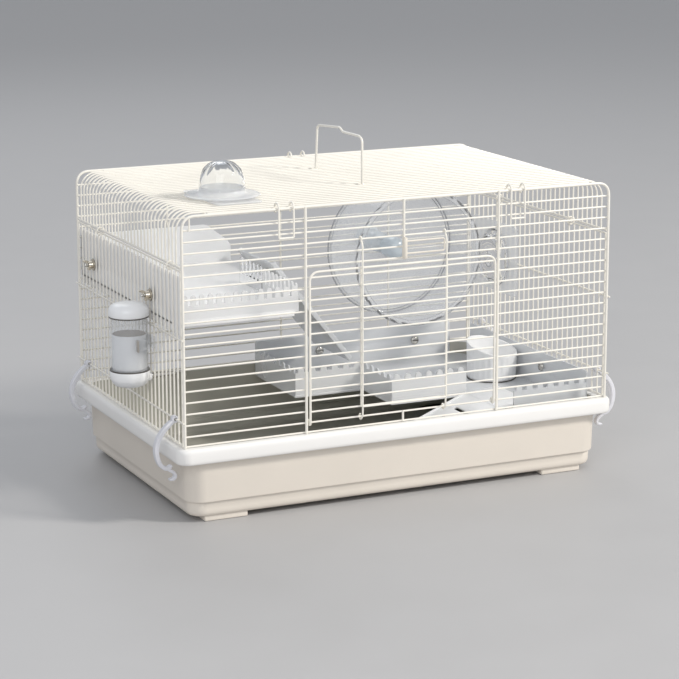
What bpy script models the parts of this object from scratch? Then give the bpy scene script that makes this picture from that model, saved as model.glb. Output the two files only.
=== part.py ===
"""Wire hamster cage: a welded wire housing on a deep plastic tray, with two nested front doors, carry handle,
tray clips, ports, corner platforms, ramps, a running wheel, a hide cup and a drinking bottle."""

import math

import bmesh
import bpy
from mathutils import Matrix, Vector

for old in list(bpy.data.objects):
    bpy.data.objects.remove(old, do_unlink=True)

# ---------------------------------------------------------------- driving dimensions (metres)
SHIFT = Vector((0.00945, -0.0014, 0.0))  # tray centre relative to the middle of the whole cage

CAGE_X = 0.2272  # outer half width of the wire housing
CAGE_Y = 0.1466  # outer half depth of the wire housing
SILL_Z = 0.0762  # underside of the lowest wire, just above the rim
TOP_Z = 0.2954  # top of the roof wires
WIRE = 0.0018
POST = 0.0027
PANEL = 0.0022  # thickness of the front and back panels
FIRST_ROW_Z = 0.2808
ROW_PITCH = 0.0108
ROWS = 19
MULLION_X = 0.10245  # front verticals beside the large door
ROW_Z = [FIRST_ROW_Z - ROW_PITCH * k for k in range(ROWS)]
HINGE_Z = ROW_Z[18]
HINGE_Y = -CAGE_Y + PANEL / 2

RIM_X, RIM_Y, RIM_R = 0.2335, 0.1537, 0.012
RIM_TOP, RIM_BOTTOM = 0.0758, 0.0600
WALL_X, WALL_Y, WALL_R = 0.2222, 0.1455, 0.018
STEP_Z = 0.0200
BASE_X, BASE_Y, BASE_R = 0.2185, 0.1420, 0.016
BASE_Z = 0.0050
FLOOR_Z = 0.0075

DOOR_X = 0.0998  # half width of the large door
DOOR_TOP = 0.2331
DOOR_Y = -0.1481  # middle of the large door's wires
SMALL_Y = -0.1506
SMALL_LEFT, SMALL_RIGHT = -0.0450, 0.0442
DOOR_WIRE = 0.0022

SIDE_TOP = 0.2438
MID_RAIL_Z = 0.1790
LOW_RAIL_Z = 0.1005
SIDE_PITCHES = 28
ROOF_HALF_Y = 0.1436
ROOF_HOLES = 31
BEND_R = 0.0160

HANDLE_X = 0.0
HANDLE_AXIS_Z = 0.29235

CLIP_Y = (-0.1236, 0.1180)

DOME_X, DOME_Y = -0.1545, -0.0710

PORT_Y, PORT_Z = 0.0790, 0.1800

SHELF_Z = 0.1880
LOWER_Z = 0.0610
SHEET = 0.0020

WHEEL_X, WHEEL_Z = 0.1005, 0.2008
WHEEL_R = 0.0730
WHEEL_FRONT, WHEEL_BACK = 0.0180, 0.0890

BOTTLE_X, BOTTLE_Y = -0.2494, -0.0660

# ---------------------------------------------------------------- collections and materials
scene = bpy.context.scene
parts = bpy.data.collections.new("hamster_cage")
cutters = bpy.data.collections.new("cutters")
scene.collection.children.link(parts)
scene.collection.children.link(cutters)
cage_origin = bpy.data.objects.new("cage_origin", None)
cage_origin.location = SHIFT
parts.objects.link(cage_origin)


def material(name, colour, roughness, metallic=0.0, alpha=1.0):
    made = bpy.data.materials.new(name)
    made.use_nodes = True
    shader = made.node_tree.nodes["Principled BSDF"]
    shader.inputs["Base Color"].default_value = (*colour, 1.0)
    shader.inputs["Roughness"].default_value = roughness
    shader.inputs["Metallic"].default_value = metallic
    shader.inputs["Alpha"].default_value = alpha
    made.diffuse_color = (*colour, alpha)
    return made


COATED = material("coated_wire", (0.86, 0.82, 0.74), 0.35)
RIM = material("tray_beige", (0.78, 0.70, 0.60), 0.45)
CLIP = material("clip_plastic", (0.84, 0.84, 0.86), 0.40)
WHITE = material("white_plastic", (0.88, 0.88, 0.88), 0.35)
FROST = material("frosted_plastic", (0.74, 0.75, 0.76), 0.30, alpha=0.8)
CLEAR = material("clear_plastic", (0.80, 0.83, 0.86), 0.08, alpha=0.35)
HUB = material("pale_blue_plastic", (0.62, 0.72, 0.80), 0.25, alpha=0.8)
STEEL = material("zinc_steel", (0.55, 0.55, 0.56), 0.25, metallic=1.0)


# ---------------------------------------------------------------- shape helpers
def put(name, mesh, mat, home=parts):
    obj = bpy.data.objects.new(name, mesh)
    if mat:
        mesh.materials.clear()
        mesh.materials.append(mat)
    home.objects.link(obj)
    return obj


def from_bmesh(name, bm, mat=None, home=parts):
    bmesh.ops.recalc_face_normals(bm, faces=bm.faces)
    mesh = bpy.data.meshes.new(name)
    bm.to_mesh(mesh)
    bm.free()
    return put(name, mesh, mat, home)


def box(name, low, high, mat=None, home=parts):
    low, high = Vector(low), Vector(high)
    bm = bmesh.new()
    bmesh.ops.create_cube(bm, size=1.0)
    size = high - low
    bmesh.ops.scale(bm, vec=size, verts=bm.verts)
    bmesh.ops.translate(bm, vec=(low + high) / 2, verts=bm.verts)
    return from_bmesh(name, bm, mat, home)


def rod(name, start, end, radius, sides=10, mat=None, home=parts, radius2=None):
    start, end = Vector(start), Vector(end)
    bm = bmesh.new()
    axis = end - start
    bmesh.ops.create_cone(
        bm, cap_ends=True, segments=sides, radius1=radius,
        radius2=radius if radius2 is None else radius2, depth=axis.length,
    )
    turn = Vector((0, 0, 1)).rotation_difference(axis.normalized()).to_matrix().to_4x4()
    bmesh.ops.transform(bm, matrix=Matrix.Translation((start + end) / 2) @ turn, verts=bm.verts)
    return from_bmesh(name, bm, mat, home)


def curve_to_mesh(name, curve, matrix, mat, home=parts, weld=2e-6):
    temp = bpy.data.objects.new(name + "_curve", curve)
    scene.collection.objects.link(temp)
    temp.matrix_world = matrix
    bpy.context.view_layer.update()
    mesh = bpy.data.meshes.new_from_object(temp.evaluated_get(bpy.context.evaluated_depsgraph_get()))
    bm = bmesh.new()
    bm.from_mesh(mesh)
    bmesh.ops.remove_doubles(bm, verts=bm.verts, dist=weld)
    bmesh.ops.transform(bm, matrix=matrix, verts=bm.verts)
    bpy.data.meshes.remove(mesh)
    bpy.data.objects.remove(temp, do_unlink=True)
    return from_bmesh(name, bm, mat, home)


def flat(name, outlines, thick, plane, level, mat=None, home=parts):
    """A flat sheet: the first outline is its edge and the others are holes. plane is XY, YX, XZ or YZ; level is its middle."""
    curve = bpy.data.curves.new(name, "CURVE")
    curve.dimensions = "2D"
    curve.fill_mode = "BOTH"
    curve.extrude = thick / 2
    for outline in outlines:
        spline = curve.splines.new("POLY")
        spline.points.add(len(outline) - 1)
        for point, (a, b) in zip(spline.points, outline):
            point.co = (a, b, 0, 1)
        spline.use_cyclic_u = True
    if plane == "XY":
        matrix = Matrix.Translation((0, 0, level))
    elif plane == "YX":
        matrix = Matrix(((0, 1, 0, 0), (1, 0, 0, 0), (0, 0, 1, level), (0, 0, 0, 1)))
    elif plane == "XZ":
        matrix = Matrix(((1, 0, 0, 0), (0, 0, 1, level), (0, 1, 0, 0), (0, 0, 0, 1)))
    else:
        matrix = Matrix(((0, 0, 1, level), (1, 0, 0, 0), (0, 1, 0, 0), (0, 0, 0, 1)))
    return curve_to_mesh(name, curve, matrix, mat, home)


def rect(a0, b0, a1, b1):
    return [(a0, b0), (a1, b0), (a1, b1), (a0, b1)]


def round_rect(a, b, r, steps=4, centre=(0, 0)):
    """Outline of a rounded rectangle of half sizes a and b."""
    points = []
    for quarter, (ca, cb) in enumerate(((a - r, b - r), (-a + r, b - r), (-a + r, -b + r), (a - r, -b + r))):
        for step in range(steps + 1):
            turn = math.pi / 2 * (quarter + step / steps)
            points.append((centre[0] + ca + r * math.cos(turn), centre[1] + cb + r * math.sin(turn)))
    return points


def circle(a, b, r, sides=16):
    return [(a + r * math.cos(2 * math.pi * k / sides), b + r * math.sin(2 * math.pi * k / sides)) for k in range(sides)]


def tube(name, points, radius, mat=None, sides_level=1, home=parts, cyclic=False):
    curve = bpy.data.curves.new(name, "CURVE")
    curve.dimensions = "3D"
    curve.bevel_depth = radius
    curve.bevel_resolution = sides_level
    curve.use_fill_caps = not cyclic
    spline = curve.splines.new("POLY")
    spline.points.add(len(points) - 1)
    for point, co in zip(spline.points, points):
        point.co = (*co, 1)
    spline.use_cyclic_u = cyclic
    return curve_to_mesh(name, curve, Matrix.Identity(4), mat, home)


def turned(name, profile, axis_matrix, mat=None, steps=24, home=parts):
    """A closed profile of (radius, height) turned round an axis; every radius is above zero or the ends lie on the axis."""
    mesh = bpy.data.meshes.new(name)
    closed = profile[0][0] > 1e-6 or profile[-1][0] > 1e-6
    count = len(profile)
    edges = [(k, k + 1) for k in range(count - 1)] + ([(count - 1, 0)] if closed else [])
    mesh.from_pydata([(r, 0, z) for r, z in profile], edges, [])
    obj = put(name, mesh, None, home)
    screw = obj.modifiers.new("turn", "SCREW")
    screw.steps = screw.render_steps = steps
    screw.use_merge_vertices = True
    screw.merge_threshold = 1e-5
    screw.use_normal_calculate = True
    bpy.context.view_layer.update()
    made = bpy.data.meshes.new_from_object(obj.evaluated_get(bpy.context.evaluated_depsgraph_get()))
    bpy.data.objects.remove(obj, do_unlink=True)
    bm = bmesh.new()
    bm.from_mesh(made)
    bmesh.ops.remove_doubles(bm, verts=bm.verts, dist=5e-6)
    bmesh.ops.transform(bm, matrix=axis_matrix, verts=bm.verts)
    bpy.data.meshes.remove(made)
    return from_bmesh(name, bm, mat, home)


def combine(base, others, operation, solver="EXACT"):
    """One Boolean step for each other object; the result is kept as the base's own mesh."""
    for other in others:
        modifier = base.modifiers.new("cut", "BOOLEAN")
        modifier.operation = operation
        modifier.solver = solver
        modifier.object = other
        bpy.context.view_layer.update()
        made = bpy.data.meshes.new_from_object(base.evaluated_get(bpy.context.evaluated_depsgraph_get()))
        base.modifiers.remove(modifier)
        kept = base.data
        mats = list(kept.materials)
        base.data = made
        bpy.data.meshes.remove(kept)
        if mats:
            made.materials.clear()
            made.materials.append(mats[0])
            for polygon in made.polygons:
                polygon.material_index = 0
        bpy.data.objects.remove(other, do_unlink=True)
    return base


def union(base, *others):
    return combine(base, others, "UNION")


def cut(base, *others):
    return combine(base, others, "DIFFERENCE")


def joined(name, objs, mat=None):
    """Separate bodies held as one operand for a following Boolean."""
    bm = bmesh.new()
    for obj in objs:
        bm.from_mesh(obj.data)
        bpy.data.objects.remove(obj, do_unlink=True)
    return from_bmesh(name, bm, mat)


def row_holes(a0, a1, edges):
    """Rectangular holes between successive (upper underside, lower top) pairs."""
    return [rect(a0, low, a1, high) for high, low in edges if high > low]


def about(x, y, z, axis="Z"):
    if axis == "Z":
        return Matrix.Translation((x, y, z))
    if axis == "Y":  # the turned height runs along +Y
        return Matrix.Translation((x, y, z)) @ Matrix.Rotation(-math.pi / 2, 4, "X")
    return Matrix.Translation((x, y, z)) @ Matrix.Rotation(math.pi / 2, 4, "Y")  # along +X


half = WIRE / 2

# ---------------------------------------------------------------- tray
tray = flat("tray", [round_rect(WALL_X, WALL_Y, WALL_R, 5)], RIM_BOTTOM + 0.001 - STEP_Z, "XY", (RIM_BOTTOM + 0.001 + STEP_Z) / 2, RIM)
rim = flat("rim", [round_rect(RIM_X, RIM_Y, RIM_R, 5)], RIM_TOP - RIM_BOTTOM, "XY", (RIM_TOP + RIM_BOTTOM) / 2)
base = flat("base", [round_rect(BASE_X, BASE_Y, BASE_R, 5)], STEP_Z + 0.001 - BASE_Z, "XY", (STEP_Z + 0.001 + BASE_Z) / 2)
union(tray, rim, base)
for sx in (-1, 1):
    for sy in (-1, 1):
        low = (min(sx * 0.2045, sx * 0.1600), min(sy * 0.1375, sy * 0.0930), 0)
        high = (max(sx * 0.2045, sx * 0.1600), max(sy * 0.1375, sy * 0.0930), BASE_Z + 0.001)
        union(tray, box("foot", low, high))
upper_space = flat("upper_space", [round_rect(0.2200, 0.1433, 0.0158, 5)], 0.075, "XY", 0.0225 + 0.0375)
lower_space = flat("lower_space", [round_rect(0.2163, 0.1398, 0.0138, 5)], 0.045, "XY", FLOOR_Z + 0.0225)
cut(tray, upper_space, lower_space)

# ---------------------------------------------------------------- front and back panels
sill_top = SILL_Z + WIRE
rail_low = TOP_Z - 0.0028


def row_gaps(first, last):
    """(upper, lower) limits of the gaps between rows first..last."""
    return [(ROW_Z[k] - half, ROW_Z[k + 1] + half) for k in range(first, last)]


wing_gaps = row_gaps(0, 18) + [(ROW_Z[18] - half, sill_top)]
for side, label in ((-1, "left"), (1, "right")):
    x0, x1 = sorted((side * CAGE_X, side * (MULLION_X - POST / 2)))
    inner0 = x0 + (POST if side < 0 else POST)
    inner1 = x1 - POST
    holes = row_holes(inner0, inner1, wing_gaps)
    if side < 0:
        holes += [rect(inner0, ROW_Z[0] + half, -0.2190, rail_low), rect(-0.2172, ROW_Z[0] + half, inner1, rail_low)]
    else:
        holes += [rect(inner0, ROW_Z[0] + half, inner1, rail_low)]
    flat(f"front_grille_{label}", [rect(x0, SILL_Z, x1, TOP_Z)] + holes, PANEL, "XZ", HINGE_Y, COATED)

mid = MULLION_X - POST / 2 - 0.0003
top_holes = []
for a0, a1 in ((-mid + 0.0008, -0.0013), (0.0013, mid - 0.0008)):
    top_holes += row_holes(a0, a1, [(rail_low, ROW_Z[0] + half)] + row_gaps(0, 4))
flat("front_grille_top", [rect(-mid, ROW_Z[4] - half, mid, TOP_Z)] + top_holes, PANEL, "XZ", HINGE_Y, COATED)
flat(
    "front_sill",
    [rect(-mid, SILL_Z, mid, HINGE_Z + half)]
    + [rect(-mid + 0.0006, sill_top, -0.0013, HINGE_Z - half), rect(0.0013, sill_top, mid - 0.0006, HINGE_Z - half)],
    PANEL, "XZ", HINGE_Y, COATED,
)

back = flat(
    "back_grille",
    [rect(-CAGE_X, SILL_Z, CAGE_X, TOP_Z)]
    + row_holes(-CAGE_X + POST, CAGE_X - POST, [(rail_low, ROW_Z[0] + half)] + wing_gaps),
    PANEL, "XZ", -HINGE_Y, COATED,
)
for x in (-0.128, 0.0, 0.128):
    stem = box("stem", (x - 0.0013, CAGE_Y + 0.0003, SILL_Z), (x + 0.0013, CAGE_Y + 0.0025, TOP_Z))
    union(stem, box("lug", (x - 0.0013, CAGE_Y - 0.0012, SILL_Z), (x + 0.0013, CAGE_Y + 0.0012, SILL_Z + 0.0012)),
          box("lug", (x - 0.0013, CAGE_Y - 0.0012, TOP_Z - 0.0020), (x + 0.0013, CAGE_Y + 0.0012, TOP_Z)))
    union(back, stem)

# ---------------------------------------------------------------- side panels and roof
side_half = 0.1436
pitch = (2 * side_half - WIRE) / SIDE_PITCHES
for side, label in ((-1, "left"), (1, "right")):
    holes = []
    for k in range(SIDE_PITCHES):
        y = -side_half + k * pitch
        holes.append(rect(y + WIRE, sill_top, y + pitch, SIDE_TOP - WIRE))
    panel = flat(f"side_grille_{label}", [rect(-side_half, SILL_Z, side_half, SIDE_TOP)] + holes, PANEL, "YZ", side * (CAGE_X - PANEL / 2), COATED)
    for z in (MID_RAIL_Z, LOW_RAIL_Z):
        x0, x1 = sorted((side * (CAGE_X + 0.0003), side * (CAGE_X + 0.0021)))
        rail = box("rail", (x0, -0.1500, z - half), (x1, 0.1500, z + half))
        for y in (-side_half, side_half - WIRE):
            a, b = sorted((side * (CAGE_X - 0.0012), side * (CAGE_X + 0.0012)))
            union(rail, box("lug", (a, y + 0.0002, z - half + 0.0002), (b, y + WIRE - 0.0002, z + half - 0.0002)))
        combine(panel, [rail], "UNION", "MANIFOLD")

ROOF_LEFT, ROOF_RIGHT = -0.1990, 0.2055
roof_pitch = (2 * ROOF_HALF_Y - WIRE) / ROOF_HOLES
holes = [
    rect(-ROOF_HALF_Y + WIRE + k * roof_pitch, ROOF_LEFT + WIRE, -ROOF_HALF_Y + (k + 1) * roof_pitch, ROOF_RIGHT - WIRE)
    for k in range(ROOF_HOLES)
]
roof = flat("roof_grille", [rect(-ROOF_HALF_Y, ROOF_LEFT, ROOF_HALF_Y, ROOF_RIGHT)] + holes, WIRE, "YX", TOP_Z - half, COATED)
for x in (-0.102, 0.0, 0.102):
    cross = box("cross", (x - half, -ROOF_HALF_Y, TOP_Z - WIRE - 0.0021), (x + half, ROOF_HALF_Y, TOP_Z - WIRE - 0.0003))
    for y in (-ROOF_HALF_Y, ROOF_HALF_Y - WIRE):
        union(cross, box("lug", (x - half + 0.0001, y + 0.0001, TOP_Z - WIRE - 0.0010), (x + half - 0.0001, y + WIRE - 0.0001, TOP_Z - 0.0008)))
    union(roof, cross)

for side, start, label in ((-1, ROOF_LEFT, "left"), (1, ROOF_RIGHT, "right")):
    wires = []
    r = 0.00100
    level = TOP_Z - half
    edge = side * (CAGE_X - 0.0011)
    for k in range(1, ROOF_HOLES):
        y = -ROOF_HALF_Y + half + k * roof_pitch
        path = [(start + side * 0.0003, y, level)]
        for step in range(4):
            turn = math.pi / 2 * step / 3
            path.append((edge - side * BEND_R * (1 - math.sin(turn)), y, level - BEND_R * (1 - math.cos(turn))))
        path.append((edge, y, 0.2462))
        wires.append(tube("wire", path, r, None, 0))
    skirt = joined(f"roof_skirt_{label}", wires, COATED)
    a, b = sorted((side * CAGE_X, side * (CAGE_X - PANEL)))
    union(skirt, box("rail", (a, -side_half, 0.2450), (b, side_half, 0.2472)))

# ---------------------------------------------------------------- doors and latch
def eye(x, width):
    """A ring about the hinge wire."""
    ring = flat("ring", [circle(HINGE_Y, HINGE_Z, 0.0031, 10), circle(HINGE_Y, HINGE_Z, 0.0018, 10)], width, "YZ", x)
    return ring


door_low = ROW_Z[17] - half
stile = 0.0475
centre_hole = rect(-stile + half, ROW_Z[17] + half, stile - half, DOOR_TOP - DOOR_WIRE)
door_gaps = row_gaps(5, 17)
holes = [centre_hole]
for a0, a1 in ((-DOOR_X + DOOR_WIRE, -stile - half), (stile + half, DOOR_X - DOOR_WIRE)):
    holes += row_holes(a0, a1, [(DOOR_TOP - DOOR_WIRE, ROW_Z[5] + half)] + door_gaps)
corner = 0.0095
outline = [(-DOOR_X, door_low), (DOOR_X, door_low)]
outline += [(DOOR_X - corner + corner * math.cos(t * math.pi / 8), DOOR_TOP - corner + corner * math.sin(t * math.pi / 8)) for t in range(5)]
outline += [(-DOOR_X + corner - corner * math.sin(t * math.pi / 8), DOOR_TOP - corner + corner * math.cos(t * math.pi / 8)) for t in range(5)]
inset = corner - DOOR_WIRE
for spot, (sx, a) in (("left", (-1, -DOOR_X + DOOR_WIRE)), ("right", (1, DOOR_X - DOOR_WIRE))):
    for k, hole in enumerate(holes):
        if abs(hole[2][1] - (DOOR_TOP - DOOR_WIRE)) < 1e-6 and any(abs(p[0] - a) < 1e-6 for p in hole):
            low_z = hole[0][1]
            other = [p[0] for p in hole if abs(p[0] - a) > 1e-6][0]
            arc = []
            for t in range(4):
                turn = t * math.pi / 6
                zz = DOOR_TOP - DOOR_WIRE - inset * (1 - math.sin(turn))
                if zz > low_z + 0.0003:
                    arc.append((a - sx * inset * (1 - math.cos(turn)), zz))
            bottom_x = a - sx * (inset - math.sqrt(max(0.0, inset**2 - (low_z - (DOOR_TOP - DOOR_WIRE - inset)) ** 2)))
            holes[k] = [(other, low_z), (bottom_x, low_z)] + arc + [(other, DOOR_TOP - DOOR_WIRE)]
large_door = flat("large_door", [outline] + holes, DOOR_WIRE, "XZ", DOOR_Y, COATED)
for sx in (-1, 1):
    x = sx * (DOOR_X - DOOR_WIRE / 2)
    leg = box("leg", (x - 0.0011, DOOR_Y - 0.0011, HINGE_Z - 0.0004), (x + 0.0011, DOOR_Y + 0.0011, door_low + 0.0004))
    union(leg, eye(x, 0.0018))
    union(large_door, leg)

gaps = row_gaps(5, 17)
small_door = flat(
    "small_door",
    [rect(SMALL_LEFT - 0.0010, ROW_Z[17] - half, SMALL_RIGHT + 0.0010, ROW_Z[5] + half)]
    + row_holes(SMALL_LEFT + 0.0010, SMALL_RIGHT - 0.0010, gaps),
    0.0020, "XZ", SMALL_Y, COATED,
)
for x in (SMALL_LEFT, SMALL_RIGHT):
    foot = box("foot", (x - 0.0010, SMALL_Y - 0.0010, HINGE_Z - 0.0008), (x + 0.0010, SMALL_Y + 0.0010, ROW_Z[17]))
    bridge = box("bridge", (x - 0.0009, SMALL_Y - 0.0008, HINGE_Z - 0.0006), (x + 0.0009, HINGE_Y - 0.0022, HINGE_Z + 0.0008))
    union(foot, bridge, eye(x, 0.0016))
    leg = box("leg", (x - 0.0010, SMALL_Y - 0.0010, ROW_Z[5]), (x + 0.0010, SMALL_Y + 0.0010, ROW_Z[2] + 0.0032))
    union(leg, box("hook", (x - 0.0009, SMALL_Y - 0.0008, ROW_Z[2] + 0.0013), (x + 0.0009, -0.1440, ROW_Z[2] + 0.0029)))
    union(small_door, foot, leg)

LATCH_Y = -0.1495
latch = rod("door_latch", (0, LATCH_Y, 0.2375), (0, LATCH_Y, 0.2573), 0.0025, 10, COATED)
for z in (0.2478, 0.2388):
    union(latch, box("prong", (0.0005, LATCH_Y - 0.0018, z - 0.0008), (0.0427, LATCH_Y, z + 0.0008)))
union(latch, box("end", (0.0409, LATCH_Y - 0.0018, 0.2382), (0.0427, LATCH_Y, 0.2484)))

# ---------------------------------------------------------------- handle, roof clips, hanger loop, rings
gap_back = -ROOF_HALF_Y + half + roof_pitch * 21.5
gap_front = -ROOF_HALF_Y + half + roof_pitch * 9.5
bow = [
    (0, gap_front, HANDLE_AXIS_Z + 0.0020), (0, gap_front, 0.3270), (0, gap_front + 0.0012, 0.3340), (0, gap_front + 0.0055, 0.3395),
    (0, gap_front + 0.0120, 0.3412), (0, -0.0100, 0.3416), (0, -0.0030, 0.3446), (0, gap_back - 0.0065, 0.3412),
    (0, gap_back - 0.0015, 0.3385), (0, gap_back, 0.3330), (0, gap_back, HANDLE_AXIS_Z + 0.0020),
]
handle = tube("carry_handle", [(HANDLE_X, y, z) for _, y, z in bow], 0.0013, COATED, 2)
for y in (gap_front, gap_back):
    union(handle, flat("ring", [circle(HANDLE_X, HANDLE_AXIS_Z, 0.0031, 10), circle(HANDLE_X, HANDLE_AXIS_Z, 0.0017, 10)], 0.0020, "XZ", y))

CLIP_AXIS = (-0.1442, 0.2944)
for sx, label in ((-1, "left"), (1, "right")):
    points = []
    arc = [(CLIP_AXIS[0] + 0.0050 * math.cos(t), CLIP_AXIS[1] + 0.0050 * math.sin(t)) for t in [math.radians(a) for a in (-50, 0, 45, 90, 135, 180)]]
    leg = [(y, z) for y, z in arc] + [(CLIP_AXIS[0] - 0.0050, 0.2665)]
    outer, inner = sx * 0.1300, sx * 0.1150
    points = [(outer, y, z) for y, z in leg] + [(inner, y, z) for y, z in reversed(leg)]
    tube(f"roof_clip_{label}", points, 0.0010, COATED, 1)

rear_leg = [(-CLIP_AXIS[0] + 0.0050 * math.cos(t), CLIP_AXIS[1] + 0.0050 * math.sin(t)) for t in [math.radians(a) for a in (220, 180, 135, 90, 45, 0)]]
rear_leg.append((-CLIP_AXIS[0] + 0.0050, 0.2860))
tube("rear_roof_clip", [(0.0100, y, z) for y, z in rear_leg] + [(0.0250, y, z) for y, z in reversed(rear_leg)], 0.0010, COATED, 1)

ring_gap = [(-side_half + half + pitch * (k + 0.5)) for k in range(SIDE_PITCHES)]


def nearest(values, target):
    return min(values, key=lambda v: abs(v - target))


for side, y, label in ((-1, -0.1120, "left_front"), (-1, 0.0734, "left_rear"), (1, -0.0773, "right_front"), (1, 0.0734, "right_rear")):
    roof_gaps = [-ROOF_HALF_Y + half + roof_pitch * (k + 0.5) for k in range(ROOF_HOLES)]
    best = min(((a, b) for a in ring_gap for b in roof_gaps), key=lambda p: abs(p[0] - p[1]) * 6 + abs((p[0] + p[1]) / 2 - y))
    flat(f"panel_ring_{label}", [circle(side * (CAGE_X - 0.0011), 0.2446, 0.0046, 10), circle(side * (CAGE_X - 0.0011), 0.2446, 0.0033, 10)], 0.0020, "XZ", (best[0] + best[1]) / 2, COATED)

# ---------------------------------------------------------------- tray clips
def stroke(path, widths):
    """Outline of a strip along a path, with its own width at each point."""
    left, right = [], []
    for k, (p, w) in enumerate(zip(path, widths)):
        a = Vector(path[max(k - 1, 0)])
        b = Vector(path[min(k + 1, len(path) - 1)])
        d = (b - a).normalized()
        n = Vector((-d.y, d.x)) * w / 2
        left.append(tuple(Vector(p) + n))
        right.append(tuple(Vector(p) - n))
    return left + right[::-1]


clip_path = [(0.2300, 0.0990), (0.2345, 0.0955), (0.2410, 0.0890), (0.2457, 0.0815), (0.2478, 0.0730), (0.2468, 0.0645), (0.2432, 0.0572), (0.2375, 0.0535), (0.2322, 0.0562)]
clip_width = [0.0030, 0.0040, 0.0044, 0.0044, 0.0044, 0.0042, 0.0040, 0.0036, 0.0026]
tab_path = [(0.2405, 0.0558), (0.2350, 0.0520), (0.2305, 0.0488), (0.2290, 0.0455), (0.2310, 0.0428), (0.2350, 0.0424)]
tab_width = [0.0030, 0.0030, 0.0028, 0.0026, 0.0024, 0.0020]
for side, s_label in ((-1, "left"), (1, "right")):
    pivot_x = side * (CAGE_X + 0.0012)
    for y, f_label in ((CLIP_Y[0], "front"), (CLIP_Y[1], "rear")):
        y = nearest(ring_gap, y)
        def mirror(points):
            return [(side * px, pz) for px, pz in points]
        clip = flat(f"tray_clip_{s_label}_{f_label}", [mirror(stroke(clip_path, clip_width))], 0.0065, "XZ", y, CLIP)
        union(clip, flat("tab", [mirror(stroke(tab_path, tab_width))], 0.0061, "XZ", y))
        union(clip, flat("eye", [circle(pivot_x, LOW_RAIL_Z, 0.0034, 12), circle(pivot_x, LOW_RAIL_Z, 0.0017, 10)], 0.0063, "XZ", y))

# ---------------------------------------------------------------- ports
plate = flat("roof_port_plate", [round_rect(0.0230, 0.0450, 0.003, 2, (DOME_X, DOME_Y)), circle(DOME_X, DOME_Y, 0.0200, 20)], 0.0016, "XY", TOP_Z + 0.0012, CLEAR)
dome_profile = [(0.0205, 0.0024), (0.0362, 0.0024), (0.0362, 0.0038), (0.0240, 0.0052)]
for k in range(1, 8):
    t = math.pi / 2 * k / 8
    dome_profile.append((0.0222 * math.cos(t) ** 0.8, 0.0075 + 0.0280 * math.sin(t)))
dome_profile.append((0.0, 0.0355))
dome_profile.append((0.0, 0.0338))
for k in range(7, -1, -1):
    t = math.pi / 2 * k / 8
    dome_profile.append((0.0205 * math.cos(t) ** 0.8, 0.0075 + 0.0263 * math.sin(t)))
turned("roof_port_dome", dome_profile[:], about(DOME_X, DOME_Y, TOP_Z), CLEAR, 24)

side_port_x = CAGE_X - PANEL - 0.0012
flat(
    "side_port_plate",
    [round_rect(0.0500, 0.0380, 0.007, 3, (0.0820, 0.1815)), circle(PORT_Y, PORT_Z, 0.0275, 20)],
    0.0018, "YZ", side_port_x, CLEAR,
)
turned(
    "side_port_cap",
    [(0.0, 0.0), (0.0, 0.0018), (0.0240, 0.0018), (0.0240, 0.0085), (0.0310, 0.0085), (0.0310, 0.0070), (0.0262, 0.0070), (0.0262, 0.0)],
    about(side_port_x - 0.0099, PORT_Y, PORT_Z, "X"), CLEAR, 24,
)

# ---------------------------------------------------------------- fasteners
def bolt_and_nut(name, spot, along, plate_side, plate_outer, wire_outer, reach=0.0095):
    """A bolt through a platform wall and the wires, with a wing nut outside. along is the outward direction."""
    spot, along = Vector(spot), Vector(along)

    def at(d):
        p = Vector(spot)
        p += along * (d - spot.dot(along))
        return p

    head = rod(f"{name}_bolt", at(plate_side - 0.0031), at(plate_side - 0.0003), 0.0048, 10, STEEL)
    union(head, rod("shaft", at(plate_side - 0.0006), at(wire_outer + reach), 0.0018, 8))
    nut_start = wire_outer + 0.0004
    nut = rod(f"{name}_wing_nut", at(nut_start), at(nut_start + 0.0011), 0.0058, 12, STEEL)
    union(nut, rod("barrel", at(nut_start + 0.0006), at(nut_start + 0.0050), 0.0037, 10, radius2=0.0030))
    up = Vector((0, 0, 1))
    across = along.cross(up)
    for sign in (-1, 1):
        tilt = (up * 0.42 + across * 0.91).normalized() * sign
        side_v = along.cross(tilt)
        bm = bmesh.new()
        bmesh.ops.create_cube(bm, size=1.0)
        bmesh.ops.scale(bm, vec=(0.0014, 0.0062, 0.0060), verts=bm.verts)
        frame3 = Matrix((side_v, tilt, along)).transposed()
        lean = Matrix.Rotation(-0.35 * 1.0, 3, "X")
        bmesh.ops.transform(bm, matrix=(frame3 @ lean).to_4x4(), verts=bm.verts)
        centre = at(nut_start + 0.0052) + tilt * 0.0052
        bmesh.ops.translate(bm, vec=centre, verts=bm.verts)
        union(nut, from_bmesh("wing", bm))
    cut(nut, rod("bore", at(nut_start - 0.001), at(nut_start + 0.02), 0.0022, 10, home=cutters))
    return at


def side_gap(y):
    return nearest(ring_gap, y)


# ---------------------------------------------------------------- upper corner platform and its ramp
left_in = -(CAGE_X - PANEL - 0.0007)
back_in = CAGE_Y - PANEL - 0.0019
floor_outline = [(left_in, -0.1150), (-0.0950, -0.1150), (-0.0950, 0.0300), (-0.0600, 0.0300), (-0.0600, back_in), (left_in, back_in)]
upper = flat("upper_platform", [floor_outline], SHEET, "XY", SHELF_Z + SHEET / 2, WHITE)
bolt_z = 0.2070
left_bolts = [side_gap(-0.0674), side_gap(0.0993)]
left_wall = flat(
    "wall", [[(-0.1410, 0.1810), (back_in, 0.1810), (back_in, 0.2370), (-0.1410, 0.2370)]] + [circle(y, bolt_z, 0.0024, 8) for y in left_bolts],
    0.0018, "YZ", left_in + 0.0009,
)
back_wall = flat("wall", [[(left_in, SHELF_Z), (-0.0600, SHELF_Z), (-0.0600, 0.2100), (-0.0900, 0.2300), (left_in, 0.2300)]], 0.0018, "XZ", back_in - 0.0009)


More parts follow.
